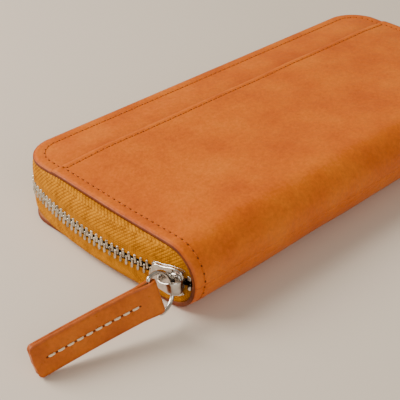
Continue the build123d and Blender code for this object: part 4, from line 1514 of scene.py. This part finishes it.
# %% Gussets
fold_low, fold_high = box_mm("left_gusset_lower")
GUSSET_CLOTH = 0.35
V_POINTS = np.array([
    (fold_low[0], fold_low[2] + 0.4), (fold_low[0] + 3, fold_low[2] + 0.4),
    (fold_high[0] - 0.5, (fold_low[2] + fold_high[2]) / 2),
    (fold_low[0] + 8.5, fold_high[2] - 0.3), (fold_low[0] + 5.5, fold_high[2] - 0.3),
])


def soft_line(corners, cuts=3):
    """Open line with its corners cut again and again; its ends stay."""
    line = np.asarray(corners, float)
    for _ in range(cuts):
        cut = np.stack([0.75 * line[:-1] + 0.25 * line[1:], 0.25 * line[:-1] + 0.75 * line[1:]], axis=1)
        line = np.concatenate([line[:1], cut.reshape(-1, line.shape[1]), line[-1:]])
    return line


v_line = soft_line(V_POINTS)
v_run = run_along(v_line)
y = np.linspace(fold_low[1], fold_high[1], 28)
across, y_grid = np.meshgrid(v_run, y, indexing="ij")
gusset = np.stack([v_line[:, :1] + 0 * y, y_grid, v_line[:, 1:] + 0 * y], axis=-1)
flat = np.stack([across, y_grid], axis=-1)
for side_name, sign in (("left", 1), ("right", -1)):
    for level, body in (("lower", "back"), ("upper", "front")):
        grid = gusset * [sign, 1, 1]
        grid = turned_over(grid) if level == "upper" else grid
        piece = sheet_piece(
            f"{side_name}_gusset_cloth_{level}", grid, GUSSET_CLOTH, [lining_cloth] * 3, 0.1, flat
        )
        if level == "lower":
            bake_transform(piece)
        else:
            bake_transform(piece)
        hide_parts(f"{side_name}_gusset_{level}")

# %% [markdown]
# ## Stops and the coin slider
# The small stamped stops and the coin zip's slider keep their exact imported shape, and only
# get the nickel finish. The main zip's stops are clips folded over the edge of the tape.

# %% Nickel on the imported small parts
for name in ("coin_zip_stops", "coin_slider", "coin_slider_pull"):
    packed = bpy.data.objects[name]
    packed.data.materials.clear()
    packed.data.materials.append(plated)
for name in ("lower_top_stop", "upper_top_stop", "lower_end_stop", "upper_end_stop"):
    low, high = box_mm(name)
    side = np.sign(low[0])
    middle = (low + high) / 2
    out = unit(np.array([side * 0.97, -0.22, 0]))
    axes = np.stack([np.cross(out, [0, 0, 1.0]), out, [0, 0, 1.0]])
    tall = (high[2] - low[2]) / 2
    clip = softened([(-0.8, -tall), (0.8, -tall), (0.8, tall), (-0.8, tall)], 2)
    stop = make_piece(f"{name}_clip", *prism(clip, -1.15, 1.15, 0.3, axes, middle), [plated])
    facing_out(stop)
    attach(stop, "back" if "lower" in name else "front")
    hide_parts(name)

# %% [markdown]
# ## Floor, light and camera
# The object stands on a plain pale floor in the soft light of a studio: one broad light high
# behind its left side, a weaker one from the front, and a pale room all round.

# %% Floor, light and camera
FLOOR = 3.0
floor_mesh = bpy.data.meshes.new("floor")
corners = [(-FLOOR, -FLOOR, 0), (FLOOR, -FLOOR, 0), (FLOOR, FLOOR, 0), (-FLOOR, FLOOR, 0)]
floor_mesh.from_pydata(corners, [], [(0, 1, 2, 3)])
floor = bpy.data.objects.new("floor", floor_mesh)
bpy.context.scene.collection.objects.link(floor)
floor_paint, floor_tree, floor_output = new_material("pale_floor")
floor_shader = add(
    floor_tree, "ShaderNodeBsdfPrincipled", {"Base Color": linear("#D9CFC2"), "Roughness": 0.7}
)
floor_tree.links.new(floor_shader.outputs[0], floor_output.inputs[0])
floor_mesh.materials.append(floor_paint)


def soft_light(name, place, aim, size, power, colour):
    """Square area light at a place, in metres, turned towards an aim."""
    lamp = bpy.data.lights.new(name, "AREA")
    lamp.shape = "SQUARE"
    lamp.size = size
    lamp.energy = power
    lamp.color = linear(colour)[:3]
    holder = bpy.data.objects.new(name, lamp)
    holder.location = place
    holder.rotation_euler = (Vector(aim) - Vector(place)).to_track_quat("-Z", "Y").to_euler()
    bpy.context.scene.collection.objects.link(holder)


soft_light("window", (-0.55, 0.75, 0.75), (0, 0, 0), 0.7, 22, "#FFF6EA")
soft_light("fill", (-0.5, -0.9, 0.55), (-0.03, 0, 0), 0.8, 5, "#FFF9F2")
world = bpy.data.worlds.new("pale_room")
world.use_nodes = True
world.node_tree.nodes["Background"].inputs["Color"].default_value = linear("#F3E6D4")
world.node_tree.nodes["Background"].inputs["Strength"].default_value = 0.42
bpy.context.scene.world = world

# The camera looks down by about a third of a right angle, from the slider's corner.
CAMERA_PLACE = (-0.28042, -0.23309, 0.21190)
CAMERA_HEADING = np.radians(45.307)
CAMERA_DOWN = np.radians(32.334)
CAMERA_LENS = 92.66
camera = bpy.data.cameras.new("camera")
camera.lens = CAMERA_LENS
camera.sensor_width = 36.0
camera.clip_start = 0.01
holder = bpy.data.objects.new("camera", camera)
holder.location = CAMERA_PLACE
holder.rotation_euler = (np.pi / 2 - CAMERA_DOWN, 0, CAMERA_HEADING - np.pi / 2)
bpy.context.scene.collection.objects.link(holder)
bpy.context.scene.camera = holder
